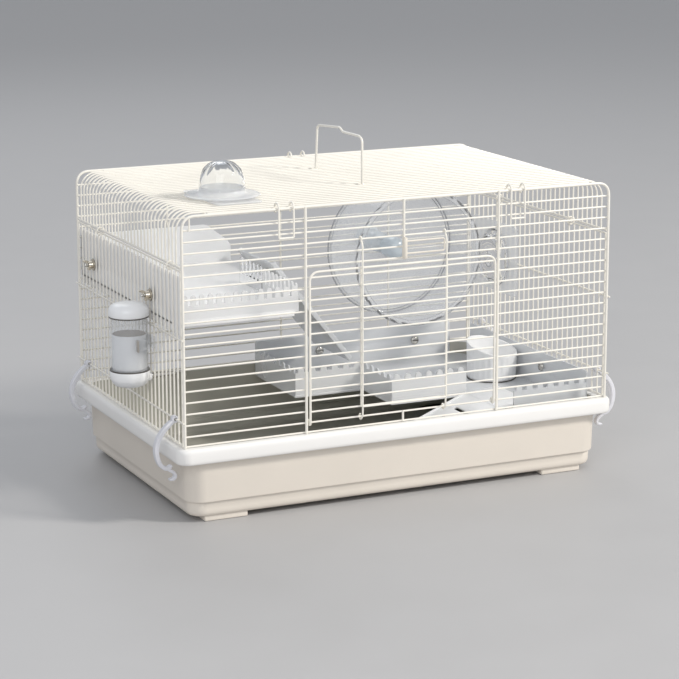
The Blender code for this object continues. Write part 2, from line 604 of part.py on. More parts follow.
def picket(a0, a1, z0, z1, pitch_, low_rail, plane, level):
    holes = []
    count = max(1, round((a1 - a0) / pitch_))
    step = (a1 - a0) / count
    for k in range(count):
        holes.append(rect(a0 + k * step + step * 0.25, z0 + low_rail, a0 + (k + 1) * step - step * 0.25, z1 - 0.0030))
    return flat("fence", [rect(a0, z0, a1, z1)] + holes, 0.0018, plane, level)


front_fence = picket(left_in + 0.0005, -0.0955, SHELF_Z + 0.0002, 0.2140, 0.0115, 0.0140, "XZ", -0.1139)
right_fence = picket(-0.1145, 0.0295, SHELF_Z + 0.0004, 0.2170, 0.0120, 0.0110, "YZ", -0.0961)
union(upper, left_wall, back_wall)
combine(upper, [front_fence, right_fence], "UNION", "MANIFOLD")
for k, (y, label) in enumerate(zip(left_bolts, ("front", "rear"))):
    bolt_and_nut(f"upper_platform_{label}", (left_in, y, bolt_z), (-1, 0, 0), -left_in - 0.0018, 0, CAGE_X)

ramp_angle = math.atan2(0.204 - 0.0935, 0.031 + 0.0575)
ramp_len = math.hypot(0.204 - 0.0935, 0.031 + 0.0575)
bm = bmesh.new()
bmesh.ops.create_cube(bm, size=1.0)
bmesh.ops.scale(bm, vec=(ramp_len, 0.0900, 0.0020), verts=bm.verts)
bmesh.ops.transform(bm, matrix=Matrix.Rotation(ramp_angle, 4, "Y"), verts=bm.verts)
bmesh.ops.translate(bm, vec=((-0.0575 + 0.031) / 2, 0.0840, (0.204 + 0.0935) / 2), verts=bm.verts)
ramp = from_bmesh("upper_ramp", bm, FROST)
for y in (0.0390, 0.1290):
    bm = bmesh.new()
    bmesh.ops.create_cube(bm, size=1.0)
    bmesh.ops.scale(bm, vec=(ramp_len - 0.001, 0.0018, 0.0060), verts=bm.verts)
    bmesh.ops.transform(bm, matrix=Matrix.Rotation(ramp_angle, 4, "Y"), verts=bm.verts)
    bmesh.ops.translate(bm, vec=((-0.0575 + 0.031) / 2 + 0.0015, y + (0.0010 if y < 0.08 else -0.0010), (0.204 + 0.0935) / 2 + 0.0013), verts=bm.verts)
    union(ramp, from_bmesh("edge", bm))

# ---------------------------------------------------------------- lower corner platform
right_in = 0.2190
lower_back = 0.1424
outline = [(-0.0330, 0.0360), (0.0440, 0.0360), (0.0440, -0.0320), (0.1680, -0.0320), (0.1680, -0.1050), (0.1340, -0.1050), (0.1340, -0.1260)]
outline += [(right_in, -0.1260), (right_in, 0.1240), (0.2010, lower_back), (-0.0330, lower_back)]
lower = flat("lower_platform", [outline], SHEET, "XY", LOWER_Z + SHEET / 2, FROST)
back_bolts_x = (0.0420, 0.1570)
back_bolt_z = (ROW_Z[18] - half + sill_top) / 2
lower_wall_back = flat("wall", [rect(-0.0330, LOWER_Z, 0.2010, 0.0990)] + [circle(x, back_bolt_z, 0.0024, 8) for x in back_bolts_x], 0.0018, "XZ", lower_back - 0.0009)
right_bolt_y = side_gap(-0.0344)
right_bolt_z = 0.0838
lower_wall_right = flat("wall", [rect(-0.1260, LOWER_Z, 0.1240, 0.0990)] + [circle(right_bolt_y, right_bolt_z, 0.0024, 8)], 0.0018, "YZ", right_in - 0.0009)


def scallop(a0, a1, z0, z1, plane, level, pitch_=0.0110, depth=0.0050):
    """A wall whose top edge is a row of rounded teeth."""
    count = max(2, round((a1 - a0) / pitch_))
    step = (a1 - a0) / count
    top = []
    for k in range(count):
        for f, h in ((0.0, 0.0), (0.2, 0.75), (0.5, 1.0), (0.8, 0.75)):
            top.append((a1 - (k + f) * step, z1 - depth + depth * h))
    top.append((a0, z1 - depth))
    return flat("scallop", [[(a0, z0), (a1, z0)] + top], 0.0018, plane, level)


front_a = scallop(-0.0330, 0.0442, LOWER_Z + 0.0002, 0.0920, "XZ", 0.0369)
left_a = scallop(0.0362, 0.1420, LOWER_Z + 0.0004, 0.0915, "YZ", -0.0321)
left_b = scallop(-0.0318, 0.0375, LOWER_Z + 0.0006, 0.0915, "YZ", 0.0449)
front_b = scallop(0.0442, 0.1300, LOWER_Z + 0.0002, 0.0920, "XZ", -0.0311)
front_c = scallop(0.1342, right_in - 0.0004, LOWER_Z + 0.0002, 0.0920, "XZ", -0.1249)
union(lower, lower_wall_back, lower_wall_right, front_a, left_a, left_b, front_b, front_c)
for x, label in zip(back_bolts_x, ("left", "middle")):
    bolt_and_nut(f"lower_platform_{label}", (x, lower_back, back_bolt_z), (0, 1, 0), lower_back - 0.0018, 0, CAGE_Y, 0.0070)
bolt_and_nut("lower_platform_right", (right_in, right_bolt_y, right_bolt_z), (1, 0, 0), right_in - 0.0018, 0, CAGE_X, 0.0080)

hideout = flat("hideout_front", [rect(0.1690, FLOOR_Z + 0.0004, 0.2080, LOWER_Z - 0.0004), circle(0.1890, 0.0360, 0.0145, 16)], 0.0020, "XZ", -0.0306, WHITE)

# slotted ramp from the tray floor to the lower platform, along its front wall
plank_y0, plank_y1 = -0.1040, -0.0345
slope = math.atan2(0.0180, 0.0455)
plank = [(-0.0090, FLOOR_Z + 0.0006), (0.1300, FLOOR_Z + 0.0006 + 0.1390 * math.tan(slope)), (0.1660, FLOOR_Z + 0.0006 + 0.1390 * math.tan(slope) + 0.0035)]
profile = [(-0.0135, FLOOR_Z + 0.0006), plank[0], plank[1], plank[2], (0.1660, plank[2][1] + 0.0020), (0.1293, plank[1][1] + 0.0021)]
slotted = flat("slotted_ramp", [profile], plank_y1 - plank_y0, "XZ", (plank_y0 + plank_y1) / 2, WHITE)
slots = []
for k in range(7):
    x = 0.0140 + 0.0155 * k
    z = FLOOR_Z + (x + 0.009) * math.tan(slope)
    slots.append(box("slot", (x - 0.0022, -0.0880, z - 0.006), (x + 0.0022, -0.0520, z + 0.010), home=cutters))
for slot in slots:
    cut(slotted, slot)

# round fluted hide cup with a slanted rim
CUP_X, CUP_Y, CUP_R = 0.1880, 0.0200, 0.0270
cup_low = LOWER_Z + SHEET + 0.0004
cup = rod("hide_cup", (CUP_X, CUP_Y, cup_low), (CUP_X, CUP_Y, cup_low + 0.0480), CUP_R - 0.0015, 24, WHITE, radius2=CUP_R)
cut(cup, rod("inside", (CUP_X, CUP_Y, cup_low + 0.0016), (CUP_X, CUP_Y, cup_low + 0.0560), CUP_R - 0.0031, 24, home=cutters, radius2=CUP_R - 0.0014))
bm = bmesh.new()
bmesh.ops.create_cube(bm, size=1.0)
bmesh.ops.scale(bm, vec=(0.12, 0.12, 0.04), verts=bm.verts)
bmesh.ops.transform(bm, matrix=Matrix.Rotation(math.radians(15), 4, Vector((0.85, 0.53, 0))), verts=bm.verts)
bmesh.ops.translate(bm, vec=(CUP_X, CUP_Y, cup_low + 0.0340 + 0.0207), verts=bm.verts)
cut(cup, from_bmesh("slant", bm, None, cutters))

# ---------------------------------------------------------------- running wheel
front, rear = WHEEL_FRONT, WHEEL_BACK
R = WHEEL_R
turned(
    "wheel_drum",
    [
        (0.0045, rear - 0.0022), (R - 0.0018, rear - 0.0022), (R - 0.0018, front + 0.0018), (R - 0.0070, front + 0.0018),
        (R - 0.0070, front), (R, front), (R, rear), (0.0045, rear),
    ],
    about(WHEEL_X, 0, WHEEL_Z, "Y"), CLEAR, 36,
)
hub_len = 0.0215
hub_front = rear - 0.0026 - hub_len
turned(
    "wheel_hub_cap",
    [(0.0, hub_front), (0.0060, hub_front + 0.0012), (0.0100, hub_front + 0.0050), (0.0118, hub_front + hub_len), (0.0100, hub_front + hub_len), (0.0086, hub_front + 0.0062), (0.0050, hub_front + 0.0030), (0.0, hub_front + 0.0020)],
    about(WHEEL_X, 0, WHEEL_Z, "Y"), HUB, 20,
)
turned(
    "wheel_bearing_housing",
    [(0.0036, 0.0924), (0.0085, 0.0924), (0.0090, 0.1100), (0.0112, 0.1150), (0.0112, 0.1330), (0.0140, 0.1385), (0.0140, 0.1432), (0.0036, 0.1432)],
    about(WHEEL_X, 0, WHEEL_Z, "Y"), HUB, 20,
)
axle = rod("wheel_axle", (WHEEL_X, 0.0690, WHEEL_Z), (WHEEL_X, 0.1565, WHEEL_Z), 0.0030, 12, STEEL)
union(axle, rod("flange", (WHEEL_X, 0.0755, WHEEL_Z), (WHEEL_X, 0.0785, WHEEL_Z), 0.0055, 12))
nut = rod("wheel_clamp_nut", (WHEEL_X, CAGE_Y + 0.0030, WHEEL_Z), (WHEEL_X, CAGE_Y + 0.0050, WHEEL_Z), 0.0120, 16, CLIP)
union(nut, rod("knob", (WHEEL_X, CAGE_Y + 0.0045, WHEEL_Z), (WHEEL_X, CAGE_Y + 0.0095, WHEEL_Z), 0.0070, 12))
cut(nut, rod("bore", (WHEEL_X, 0.12, WHEEL_Z), (WHEEL_X, 0.18, WHEEL_Z), 0.0034, 12, home=cutters))

# ---------------------------------------------------------------- drinking bottle
BY = side_gap(BOTTLE_Y)
shell = [(0.0170, 0.1372), (0.0185, 0.1372), (0.0188, 0.1560), (0.0185, 0.1815), (0.0176, 0.1880), (0.0160, 0.1880), (0.0170, 0.1820), (0.0172, 0.1560)]
turned("bottle_body", shell, about(BOTTLE_X, BY, 0), CLEAR, 20)
turned(
    "bottle_inner_cup",
    [(0.0, 0.1377), (0.0150, 0.1377), (0.0166, 0.1402), (0.0166, 0.1718), (0.0152, 0.1718), (0.0152, 0.1407), (0.0, 0.1392)],
    about(BOTTLE_X, BY, 0), FROST, 20,
)
turned(
    "bottle_cap",
    [(0.0, 0.1888), (0.0190, 0.1888), (0.0195, 0.1905), (0.0192, 0.1948), (0.0165, 0.1990), (0.0100, 0.2014), (0.0, 0.2022)],
    about(BOTTLE_X, BY, 0), WHITE, 20,
)
base_cap = turned(
    "bottle_base_cap",
    [(0.0, 0.1212), (0.0130, 0.1212), (0.0165, 0.1237), (0.0192, 0.1317), (0.0194, 0.1364), (0.0, 0.1364)],
    about(BOTTLE_X, BY, 0), WHITE, 20,
)
union(base_cap, rod("elbow", (BOTTLE_X + 0.010, BY, 0.1285), (BOTTLE_X + 0.0212, BY, 0.1285), 0.0048, 10))
rod("bottle_spout", (BOTTLE_X + 0.0215, BY, 0.1285), (-0.2040, BY, 0.1285), 0.0030, 10, STEEL, radius2=0.0024)
holder = turned(
    "bottle_holder", [(0.0194, 0.1580), (0.0208, 0.1580), (0.0208, 0.1690), (0.0194, 0.1690)], about(BOTTLE_X, BY, 0), CLIP, 24
)
union(holder, box("pad", (-0.2300, BY - 0.0130, 0.1575), (-0.2276, BY + 0.0130, 0.1695)))
cut(holder, box("mouth", (BOTTLE_X - 0.0300, BY - 0.0300, 0.1500), (BOTTLE_X, BY + 0.0300, 0.1800), home=cutters))
for sy in (-1, 1):
    y0, y1 = sorted((BY + sy * 0.0197, BY + sy * 0.0245))
    union(holder, box("tab", (BOTTLE_X - 0.0006, y0, 0.1575), (BOTTLE_X + 0.0024, y1, 0.1695)))

# ---------------------------------------------------------------- place, pivot and shade every piece
pivots = {
    "large_door": (0, HINGE_Y, HINGE_Z),
    "small_door": (0, HINGE_Y, HINGE_Z),
    "door_latch": (0, LATCH_Y, 0.2474),
    "carry_handle": (HANDLE_X, 0, HANDLE_AXIS_Z),
    "roof_clip_left": (-0.1225, *CLIP_AXIS),
    "roof_clip_right": (0.1225, *CLIP_AXIS),
    "wheel_drum": (WHEEL_X, 0, WHEEL_Z),
    "wheel_hub_cap": (WHEEL_X, 0, WHEEL_Z),
}
for side, s_label in ((-1, "left"), (1, "right")):
    for f_label in ("front", "rear"):
        pivots[f"tray_clip_{s_label}_{f_label}"] = (side * (CAGE_X + 0.0012), 0, LOW_RAIL_Z)

for obj in list(parts.objects):
    if obj.type != "MESH":
        continue
    pivot = Vector(pivots.get(obj.name, (0, 0, 0)))
    obj.data.transform(Matrix.Translation(-pivot))
    obj.location = pivot
    obj.parent = cage_origin
    obj.data.shade_smooth()
    obj.data.set_sharp_from_angle(angle=math.radians(30))
for obj in list(cutters.objects):
    obj.hide_render = True
    obj.display_type = "WIRE"
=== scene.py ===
"""Looks of the wire hamster cage: round bent wires, moulded and clear plastics, zinc fasteners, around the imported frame."""

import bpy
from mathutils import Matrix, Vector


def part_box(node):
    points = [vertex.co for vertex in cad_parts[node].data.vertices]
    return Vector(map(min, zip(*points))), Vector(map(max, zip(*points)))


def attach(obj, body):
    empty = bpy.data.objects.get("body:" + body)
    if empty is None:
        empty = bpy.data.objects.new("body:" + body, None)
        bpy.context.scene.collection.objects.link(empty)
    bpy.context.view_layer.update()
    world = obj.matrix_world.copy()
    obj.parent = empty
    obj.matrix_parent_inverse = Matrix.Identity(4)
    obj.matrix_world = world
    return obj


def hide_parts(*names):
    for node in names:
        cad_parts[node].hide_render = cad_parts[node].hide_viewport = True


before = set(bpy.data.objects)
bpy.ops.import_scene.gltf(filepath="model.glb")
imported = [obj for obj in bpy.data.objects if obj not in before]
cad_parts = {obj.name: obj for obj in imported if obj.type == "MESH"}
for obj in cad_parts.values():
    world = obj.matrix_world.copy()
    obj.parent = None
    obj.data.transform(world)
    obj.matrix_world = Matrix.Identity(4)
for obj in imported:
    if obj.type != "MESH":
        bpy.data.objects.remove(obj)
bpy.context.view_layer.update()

import math

import bmesh
import bpy
from mathutils import Matrix, Vector

scene = bpy.context.scene

# ---------------------------------------------------------------- places read from the frame
T_LO, T_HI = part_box("tray")
O = Vector(((T_LO.x + T_HI.x) / 2, (T_LO.y + T_HI.y) / 2, 0.0))  # tray centre; everything below is relative to it


def local(node):
    lo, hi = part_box(node)
    return lo - O, hi - O


HALF = 0.0009
POST_R = 0.00135
sill_lo, sill_hi = local("front_sill")
top_lo, top_hi = local("front_grille_top")
HINGE_Z = sill_hi.z - HALF
PITCH = (top_lo.z + HALF - HINGE_Z) / 14
ROW = [HINGE_Z + PITCH * (18 - k) for k in range(19)]
SILL = sill_lo.z + HALF
TOP = top_hi.z
back_lo, back_hi = local("back_grille")
CAGE_X = back_hi.x
FY = (sill_lo.y + sill_hi.y) / 2
BY = -FY
VY = FY - 0.0017
MULLION = sill_hi.x + 0.0016
side_lo, side_hi = local("side_grille_left")
SIDE_TOP = side_hi.z - HALF
SIDE_X = CAGE_X - 0.0011
SIDE_HALF = 0.1436
SIDE_GAPS = 28
SIDE_PITCH = (2 * SIDE_HALF - 2 * HALF) / SIDE_GAPS
roof_lo, roof_hi = local("roof_grille")
ROOF_Z = roof_hi.z - HALF
ROOF_GAPS = 31
ROOF_HALF = (roof_hi.y - roof_lo.y) / 2
ROOF_PITCH = (2 * ROOF_HALF - 2 * HALF) / ROOF_GAPS
side_y = [-SIDE_HALF + HALF + SIDE_PITCH * k for k in range(SIDE_GAPS + 1)]
roof_y = [-ROOF_HALF + HALF + ROOF_PITCH * k for k in range(ROOF_GAPS + 1)]


# ---------------------------------------------------------------- materials
def principled(name):
    m = bpy.data.materials.new(name)
    m.use_nodes = True
    return m, m.node_tree.nodes["Principled BSDF"], m.node_tree


def surface(name, colour, rough, metallic=0.0, transmission=0.0, ior=1.48, coat=0.0, sss=0.0, vary=0.05, grain=900.0, bump=0.05, speck=0.0, dirt=None, bump_distance=0.0002, alpha=1.0):
    """Procedural finish: broad and fine colour variation, roughness variation and a moulded or sprayed grain."""
    m, shader, tree = principled(name)
    new, link = tree.nodes.new, tree.links.new
    place = new("ShaderNodeTexCoord")
    broad = new("ShaderNodeTexNoise")
    broad.inputs["Scale"].default_value = 14.0
    broad.inputs["Detail"].default_value = 4.0
    fine = new("ShaderNodeTexNoise")
    fine.inputs["Scale"].default_value = grain
    fine.inputs["Detail"].default_value = 3.0
    link(place.outputs["Object"], broad.inputs["Vector"])
    link(place.outputs["Object"], fine.inputs["Vector"])
    ramp = new("ShaderNodeValToRGB")
    ramp.color_ramp.elements[0].position = 0.3
    ramp.color_ramp.elements[1].position = 0.72
    ramp.color_ramp.elements[0].color = (*[c * (1 - vary) for c in (dirt or colour)], 1)
    ramp.color_ramp.elements[1].color = (*[min(1, c * (1 + vary * 0.5)) for c in colour], 1)
    link(broad.outputs["Fac"], ramp.inputs["Fac"])
    colour_out = ramp.outputs["Color"]
    if speck:
        mix = new("ShaderNodeMix")
        mix.data_type = "RGBA"
        mix.blend_type = "MULTIPLY"
        mix.inputs["Factor"].default_value = speck
        link(colour_out, mix.inputs["A"])
        link(fine.outputs["Color"], mix.inputs["B"])
        colour_out = mix.outputs["Result"]
    link(colour_out, shader.inputs["Base Color"])
    spread = new("ShaderNodeMapRange")
    spread.inputs["To Min"].default_value = max(0.0, rough - 0.06)
    spread.inputs["To Max"].default_value = min(1.0, rough + 0.07)
    link(broad.outputs["Fac"], spread.inputs["Value"])
    link(spread.outputs["Result"], shader.inputs["Roughness"])
    relief = new("ShaderNodeBump")
    relief.inputs["Strength"].default_value = bump
    relief.inputs["Distance"].default_value = bump_distance
    link(fine.outputs["Fac"], relief.inputs["Height"])
    link(relief.outputs["Normal"], shader.inputs["Normal"])
    shader.inputs["Metallic"].default_value = metallic
    shader.inputs["Transmission Weight"].default_value = transmission
    shader.inputs["IOR"].default_value = ior
    shader.inputs["Alpha"].default_value = alpha
    shader.inputs["Coat Weight"].default_value = coat
    shader.inputs["Coat Roughness"].default_value = 0.12
    if sss:
        shader.inputs["Subsurface Weight"].default_value = sss
        shader.inputs["Subsurface Radius"].default_value = (0.004, 0.0036, 0.003)
        shader.inputs["Subsurface Scale"].default_value = 0.5
    return m


COAT = surface("coated_wire", (0.90, 0.865, 0.785), 0.30, coat=0.35, vary=0.04, grain=1400, bump=0.18)
# darker copy of the wire coating: painted shade for the door latch, which sits in shadow
COAT_SHADE = surface("coated_wire_shadow", (0.80, 0.745, 0.655), 0.34, coat=0.3, vary=0.06, grain=1400, bump=0.18)
# whiter rim: partly its own paler plastic, partly painted light, as the lip catches the light
RIM = surface("tray_rim", (0.90, 0.885, 0.86), 0.34, coat=0.15, vary=0.02, grain=700, bump=0.05)
BODY = surface("tray_body", (0.80, 0.735, 0.65), 0.42, coat=0.08, vary=0.03, grain=620, bump=0.08)
# darker olive-grey over the whole inside of the tray: painted shade inside its walls and under the platforms
TRAY_INSIDE_SHADE = surface("tray_inside_shade", (0.49, 0.475, 0.415), 0.46, vary=0.07, grain=620, bump=0.08)
CLIP = surface("clip_plastic", (0.84, 0.84, 0.88), 0.34, transmission=0.12, coat=0.1, vary=0.03, grain=800, bump=0.05)
WHITE = surface("white_plastic", (0.93, 0.93, 0.93), 0.30, coat=0.15, vary=0.015, grain=800, bump=0.04)
MILK = surface("milky_plastic", (0.93, 0.935, 0.94), 0.30, transmission=0.18, vary=0.015, grain=800, bump=0.04)
FROST = surface("frosted_plastic", (0.91, 0.925, 0.945), 0.24, transmission=0.28, vary=0.02, grain=700, bump=0.05)
CLEAR = surface("clear_plastic", (0.97, 0.98, 0.99), 0.04, transmission=1.0, ior=1.30, vary=0.01, grain=200, bump=0.02)
FILM = surface("clear_sheet", (0.90, 0.92, 0.945), 0.08, ior=1.46, vary=0.01, grain=200, bump=0.02, alpha=0.20)
HAZE = surface("clear_haze", (0.93, 0.94, 0.95), 0.12, ior=1.46, vary=0.02, grain=300, bump=0.03, alpha=0.42)
# near-black and grey for the clear wheel: painted dark reflections on its ribs and edges
RIB_DARK_REFLECTION = surface("clear_rib_shadow", (0.07, 0.07, 0.075), 0.12, vary=0.05, grain=500, bump=0.05)
RIB_GREY_REFLECTION = surface("clear_edge_reflection", (0.42, 0.43, 0.45), 0.12, vary=0.05, grain=500, bump=0.05, alpha=0.75)
HUB = surface("pale_blue_plastic", (0.78, 0.86, 0.92), 0.20, transmission=0.2, coat=0.2, vary=0.03, grain=500, bump=0.03)
ZINC = surface("zinc_steel", (0.66, 0.64, 0.60), 0.22, metallic=1.0, vary=0.12, grain=1800, bump=0.12)
BRASSY = surface("warm_zinc", (0.66, 0.60, 0.50), 0.24, metallic=1.0, vary=0.12, grain=1800, bump=0.12)
# near-black: dark rings at the bottle joints and round the foot of the hide cup, and painted shade in the screw-head
# slots
DARK_RING_AND_SLOT_SHADE = surface("dark_ring_and_slot_shade", (0.10, 0.09, 0.08), 0.45, vary=0.08, grain=1200, bump=0.10)
# dark brown on the inside of the bottle's inner cup
INNER = surface("dark_cup_inside", (0.36, 0.29, 0.21), 0.4, vary=0.05, grain=700, bump=0.05)
TAUPE = surface("holder_plastic", (0.50, 0.46, 0.41), 0.3, vary=0.04, grain=700, bump=0.05, alpha=0.8)


# ---------------------------------------------------------------- shape helpers
def piece(name, bm, mats, body="housing", nodes=(), angle=38, recalc=True):
    if recalc:
        bmesh.ops.recalc_face_normals(bm, faces=bm.faces)
    mesh = bpy.data.meshes.new(name)
    bm.to_mesh(mesh)
    bm.free()
    for m in mats if isinstance(mats, (list, tuple)) else [mats]:
        mesh.materials.append(m)
    mesh.transform(Matrix.Translation(O))
    mesh.shade_smooth()
    mesh.set_sharp_from_angle(angle=math.radians(angle))
    obj = bpy.data.objects.new(name, mesh)
    scene.collection.objects.link(obj)
    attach(obj, body)
    if nodes:
        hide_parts(*nodes)
    return obj


def add(dst, src, matrix=None, slot=0):
    """Copies one bmesh into another, moved and with one material slot."""
    if matrix is not None:
        bmesh.ops.transform(src, matrix=matrix, verts=src.verts)
    bmesh.ops.recalc_face_normals(src, faces=src.faces)
    if slot is not None:
        for f in src.faces:
            f.material_index = slot
    temp = bpy.data.meshes.new("temp")
    src.to_mesh(temp)
    src.free()
    dst.from_mesh(temp)
    bpy.data.meshes.remove(temp)


def fillet(points, radius, steps=5):
    """Rounds a path's inner corners."""
    pts = [Vector(p) for p in points]
    out = [pts[0]]
    for k in range(1, len(pts) - 1):
        a, b, c = pts[k - 1], pts[k], pts[k + 1]
        u, v = (a - b), (c - b)
        turn = u.angle(v, math.pi)
        if turn > math.radians(178):
            out.append(b)
            continue
        reach = min(radius / math.tan(turn / 2), u.length * 0.49, v.length * 0.49)
        p0, p1 = b + u.normalized() * reach, b + v.normalized() * reach
        for s in range(steps + 1):
            t = s / steps
            out.append(p0 * (1 - t) ** 2 + b * 2 * t * (1 - t) + p1 * t**2)
    out.append(pts[-1])
    return out


def smooth(points, steps=6):
    """Catmull-Rom curve through the points."""
    p = [Vector(q) for q in points]
    p = [p[0] * 2 - p[1]] + p + [p[-1] * 2 - p[-2]]
    out = []
    for k in range(1, len(p) - 2):
        for s in range(steps):
            t = s / steps
            out.append(
                0.5 * ((2 * p[k]) + (p[k + 1] - p[k - 1]) * t + (2 * p[k - 1] - 5 * p[k] + 4 * p[k + 1] - p[k + 2]) * t**2 + (3 * p[k] - p[k - 1] - 3 * p[k + 1] + p[k + 2]) * t**3)
            )
    out.append(p[-2])
    return out


def wire(bm, path, r, sides=8, closed=False, slot=0):
    """A round wire along a path, with slightly domed ends."""
    pts = []
    for q in path:
        q = Vector(q)
        if not pts or (q - pts[-1]).length > 1e-6:
            pts.append(q)
    n = len(pts)
    tangents = []
    for i in range(n):
        if closed:
            t = pts[(i + 1) % n] - pts[i - 1]
        else:
            t = pts[min(i + 1, n - 1)] - pts[max(i - 1, 0)]
        tangents.append(t.normalized())
    ref = Vector((0, 0, 1)) if abs(tangents[0].z) < 0.9 else Vector((1, 0, 0))
    normal = (ref - tangents[0] * ref.dot(tangents[0])).normalized()
    rings = []
    for i in range(n):
        if i:
            normal = tangents[i - 1].rotation_difference(tangents[i]) @ normal
            normal = (normal - tangents[i] * normal.dot(tangents[i])).normalized()
        side = tangents[i].cross(normal)
        rr = r(i / max(1, n - 1)) if callable(r) else r
        rings.append((pts[i], normal.copy(), side, rr))

    def ring(p, a, b, rr):
        return [bm.verts.new(p + (a * math.cos(2 * math.pi * k / sides) + b * math.sin(2 * math.pi * k / sides)) * rr) for k in range(sides)]

    if not closed:
        p, a, b, rr = rings[0]
        rings.insert(0, (p - tangents[0] * rr * 0.35, a, b, rr * 0.62))
        p, a, b, rr = rings[-1]
        rings.append((p + tangents[-1] * rr * 0.35, a, b, rr * 0.62))
    made = [ring(*r_) for r_ in rings]
    pairs = list(zip(made, made[1:]))
    for lo, hi in pairs:
        for k in range(sides):
            f = bm.faces.new((lo[k], lo[(k + 1) % sides], hi[(k + 1) % sides], hi[k]))
            f.material_index = slot
    if closed:
        first, last = made[0], made[-1]
        shift = min(range(sides), key=lambda s: (first[s].co - last[0].co).length)
        for k in range(sides):
            f = bm.faces.new((last[k], last[(k + 1) % sides], first[(k + 1 + shift) % sides], first[(k + shift) % sides]))
            f.material_index = slot
    else:
        bm.faces.new(list(reversed(made[0]))).material_index = slot
        bm.faces.new(made[-1]).material_index = slot


def ring_path(centre, r, plane, steps=18, start=0.0, sweep=360.0):
    out = []
    full = abs(sweep - 360.0) < 1e-6
    for k in range(steps if full else steps + 1):
        t = math.radians(start + sweep * k / steps)
        a, b = r * math.cos(t), r * math.sin(t)
        if plane == "YZ":
            out.append((centre[0], centre[1] + a, centre[2] + b))
        elif plane == "XZ":
            out.append((centre[0] + a, centre[1], centre[2] + b))
        else:
            out.append((centre[0] + a, centre[1] + b, centre[2]))
    return out


def rbox(lo, hi, bevel=0.0004, segments=2):
    bm = bmesh.new()
    bmesh.ops.create_cube(bm, size=1.0)
    lo, hi = Vector(lo), Vector(hi)
    bmesh.ops.scale(bm, vec=hi - lo, verts=bm.verts)
    bmesh.ops.translate(bm, vec=(lo + hi) / 2, verts=bm.verts)
    if bevel:
        bmesh.ops.bevel(bm, geom=list(bm.edges), offset=bevel, segments=segments, profile=0.5, affect="EDGES")
    return bm


def plate(outlines, thick, plane="XY", level=0.0, soften=0.0):
    """A flat sheet with holes; soften rounds its outer edges."""
    cu = bpy.data.curves.new("temp", "CURVE")
    cu.dimensions = "2D"
    cu.fill_mode = "BOTH"
    cu.extrude = thick / 2
    for outline in outlines:
        sp = cu.splines.new("POLY")
        sp.points.add(len(outline) - 1)
        for p, (a, b) in zip(sp.points, outline):
            p.co = (a, b, 0, 1)
        sp.use_cyclic_u = True
    ob = bpy.data.objects.new("temp", cu)
    scene.collection.objects.link(ob)
    bpy.context.view_layer.update()
    mesh = bpy.data.meshes.new_from_object(ob.evaluated_get(bpy.context.evaluated_depsgraph_get()))
    bpy.data.objects.remove(ob, do_unlink=True)
    bm = bmesh.new()
    bm.from_mesh(mesh)
    bpy.data.meshes.remove(mesh)
    bmesh.ops.remove_doubles(bm, verts=bm.verts, dist=2e-6)
    if soften:
        bmesh.ops.recalc_face_normals(bm, faces=bm.faces)
        edges = [e for e in bm.edges if len(e.link_faces) == 2 and e.calc_face_angle(0) > 1.2]
        bmesh.ops.bevel(bm, geom=edges, offset=soften, segments=2, profile=0.5, affect="EDGES")
    if plane == "XZ":
        m = Matrix(((1, 0, 0, 0), (0, 0, 1, level), (0, 1, 0, 0), (0, 0, 0, 1)))
    elif plane == "YZ":
        m = Matrix(((0, 0, 1, level), (1, 0, 0, 0), (0, 1, 0, 0), (0, 0, 0, 1)))
    else:
        m = Matrix.Translation((0, 0, level))
    bmesh.ops.transform(bm, matrix=m, verts=bm.verts)
    return bm


def rect(a0, b0, a1, b1):
    return [(a0, b0), (a1, b0), (a1, b1), (a0, b1)]


def circle(a, b, r, n=32):
    return [(a + r * math.cos(2 * math.pi * k / n), b + r * math.sin(2 * math.pi * k / n)) for k in range(n)]


def rr(a, b, r, steps=10, centre=(0, 0)):
    out = []
    for q, (ca, cb) in enumerate(((a - r, b - r), (-a + r, b - r), (-a + r, -b + r), (a - r, -b + r))):
        for s in range(steps + 1):
            t = math.pi / 2 * (q + s / steps)
            out.append((centre[0] + ca + r * math.cos(t), centre[1] + cb + r * math.sin(t)))
    return out


def lathe(profile, matrix, steps=48, closed=True, flute=None, slots=None):
    """A turned shape; flute(angle, r, z) may change the radius."""
    bm = bmesh.new()
    rings = []
    for r, z in profile:
        if r < 1e-6:
            rings.append([bm.verts.new((0, 0, z))])
            continue
        ring = []
        for k in range(steps):
            t = 2 * math.pi * k / steps
            q = flute(t, r, z) if flute else r
            ring.append(bm.verts.new((q * math.cos(t), q * math.sin(t), z)))
        rings.append(ring)
    pairs = list(zip(rings, rings[1:])) + ([(rings[-1], rings[0])] if closed and len(rings[0]) > 1 and len(rings[-1]) > 1 else [])
    for i, (a, b) in enumerate(pairs):
        for k in range(steps):
            j = (k + 1) % steps
            if len(a) == 1 and len(b) == 1:
                continue
            if len(a) == 1:
                f = bm.faces.new((a[0], b[j], b[k]))
            elif len(b) == 1:
                f = bm.faces.new((a[k], a[j], b[0]))
            else:
                f = bm.faces.new((a[k], a[j], b[j], b[k]))
            if slots:
                f.material_index = slots[i] if i < len(slots) else slots[-1]
    bmesh.ops.transform(bm, matrix=matrix, verts=bm.verts)
    return bm


def about(x, y, z, axis="Z"):
    if axis == "Z":
        return Matrix.Translation((x, y, z))
    if axis == "Y":
        return Matrix.Translation((x, y, z)) @ Matrix.Rotation(-math.pi / 2, 4, "X")
    return Matrix.Translation((x, y, z)) @ Matrix.Rotation(math.pi / 2, 4, "Y")


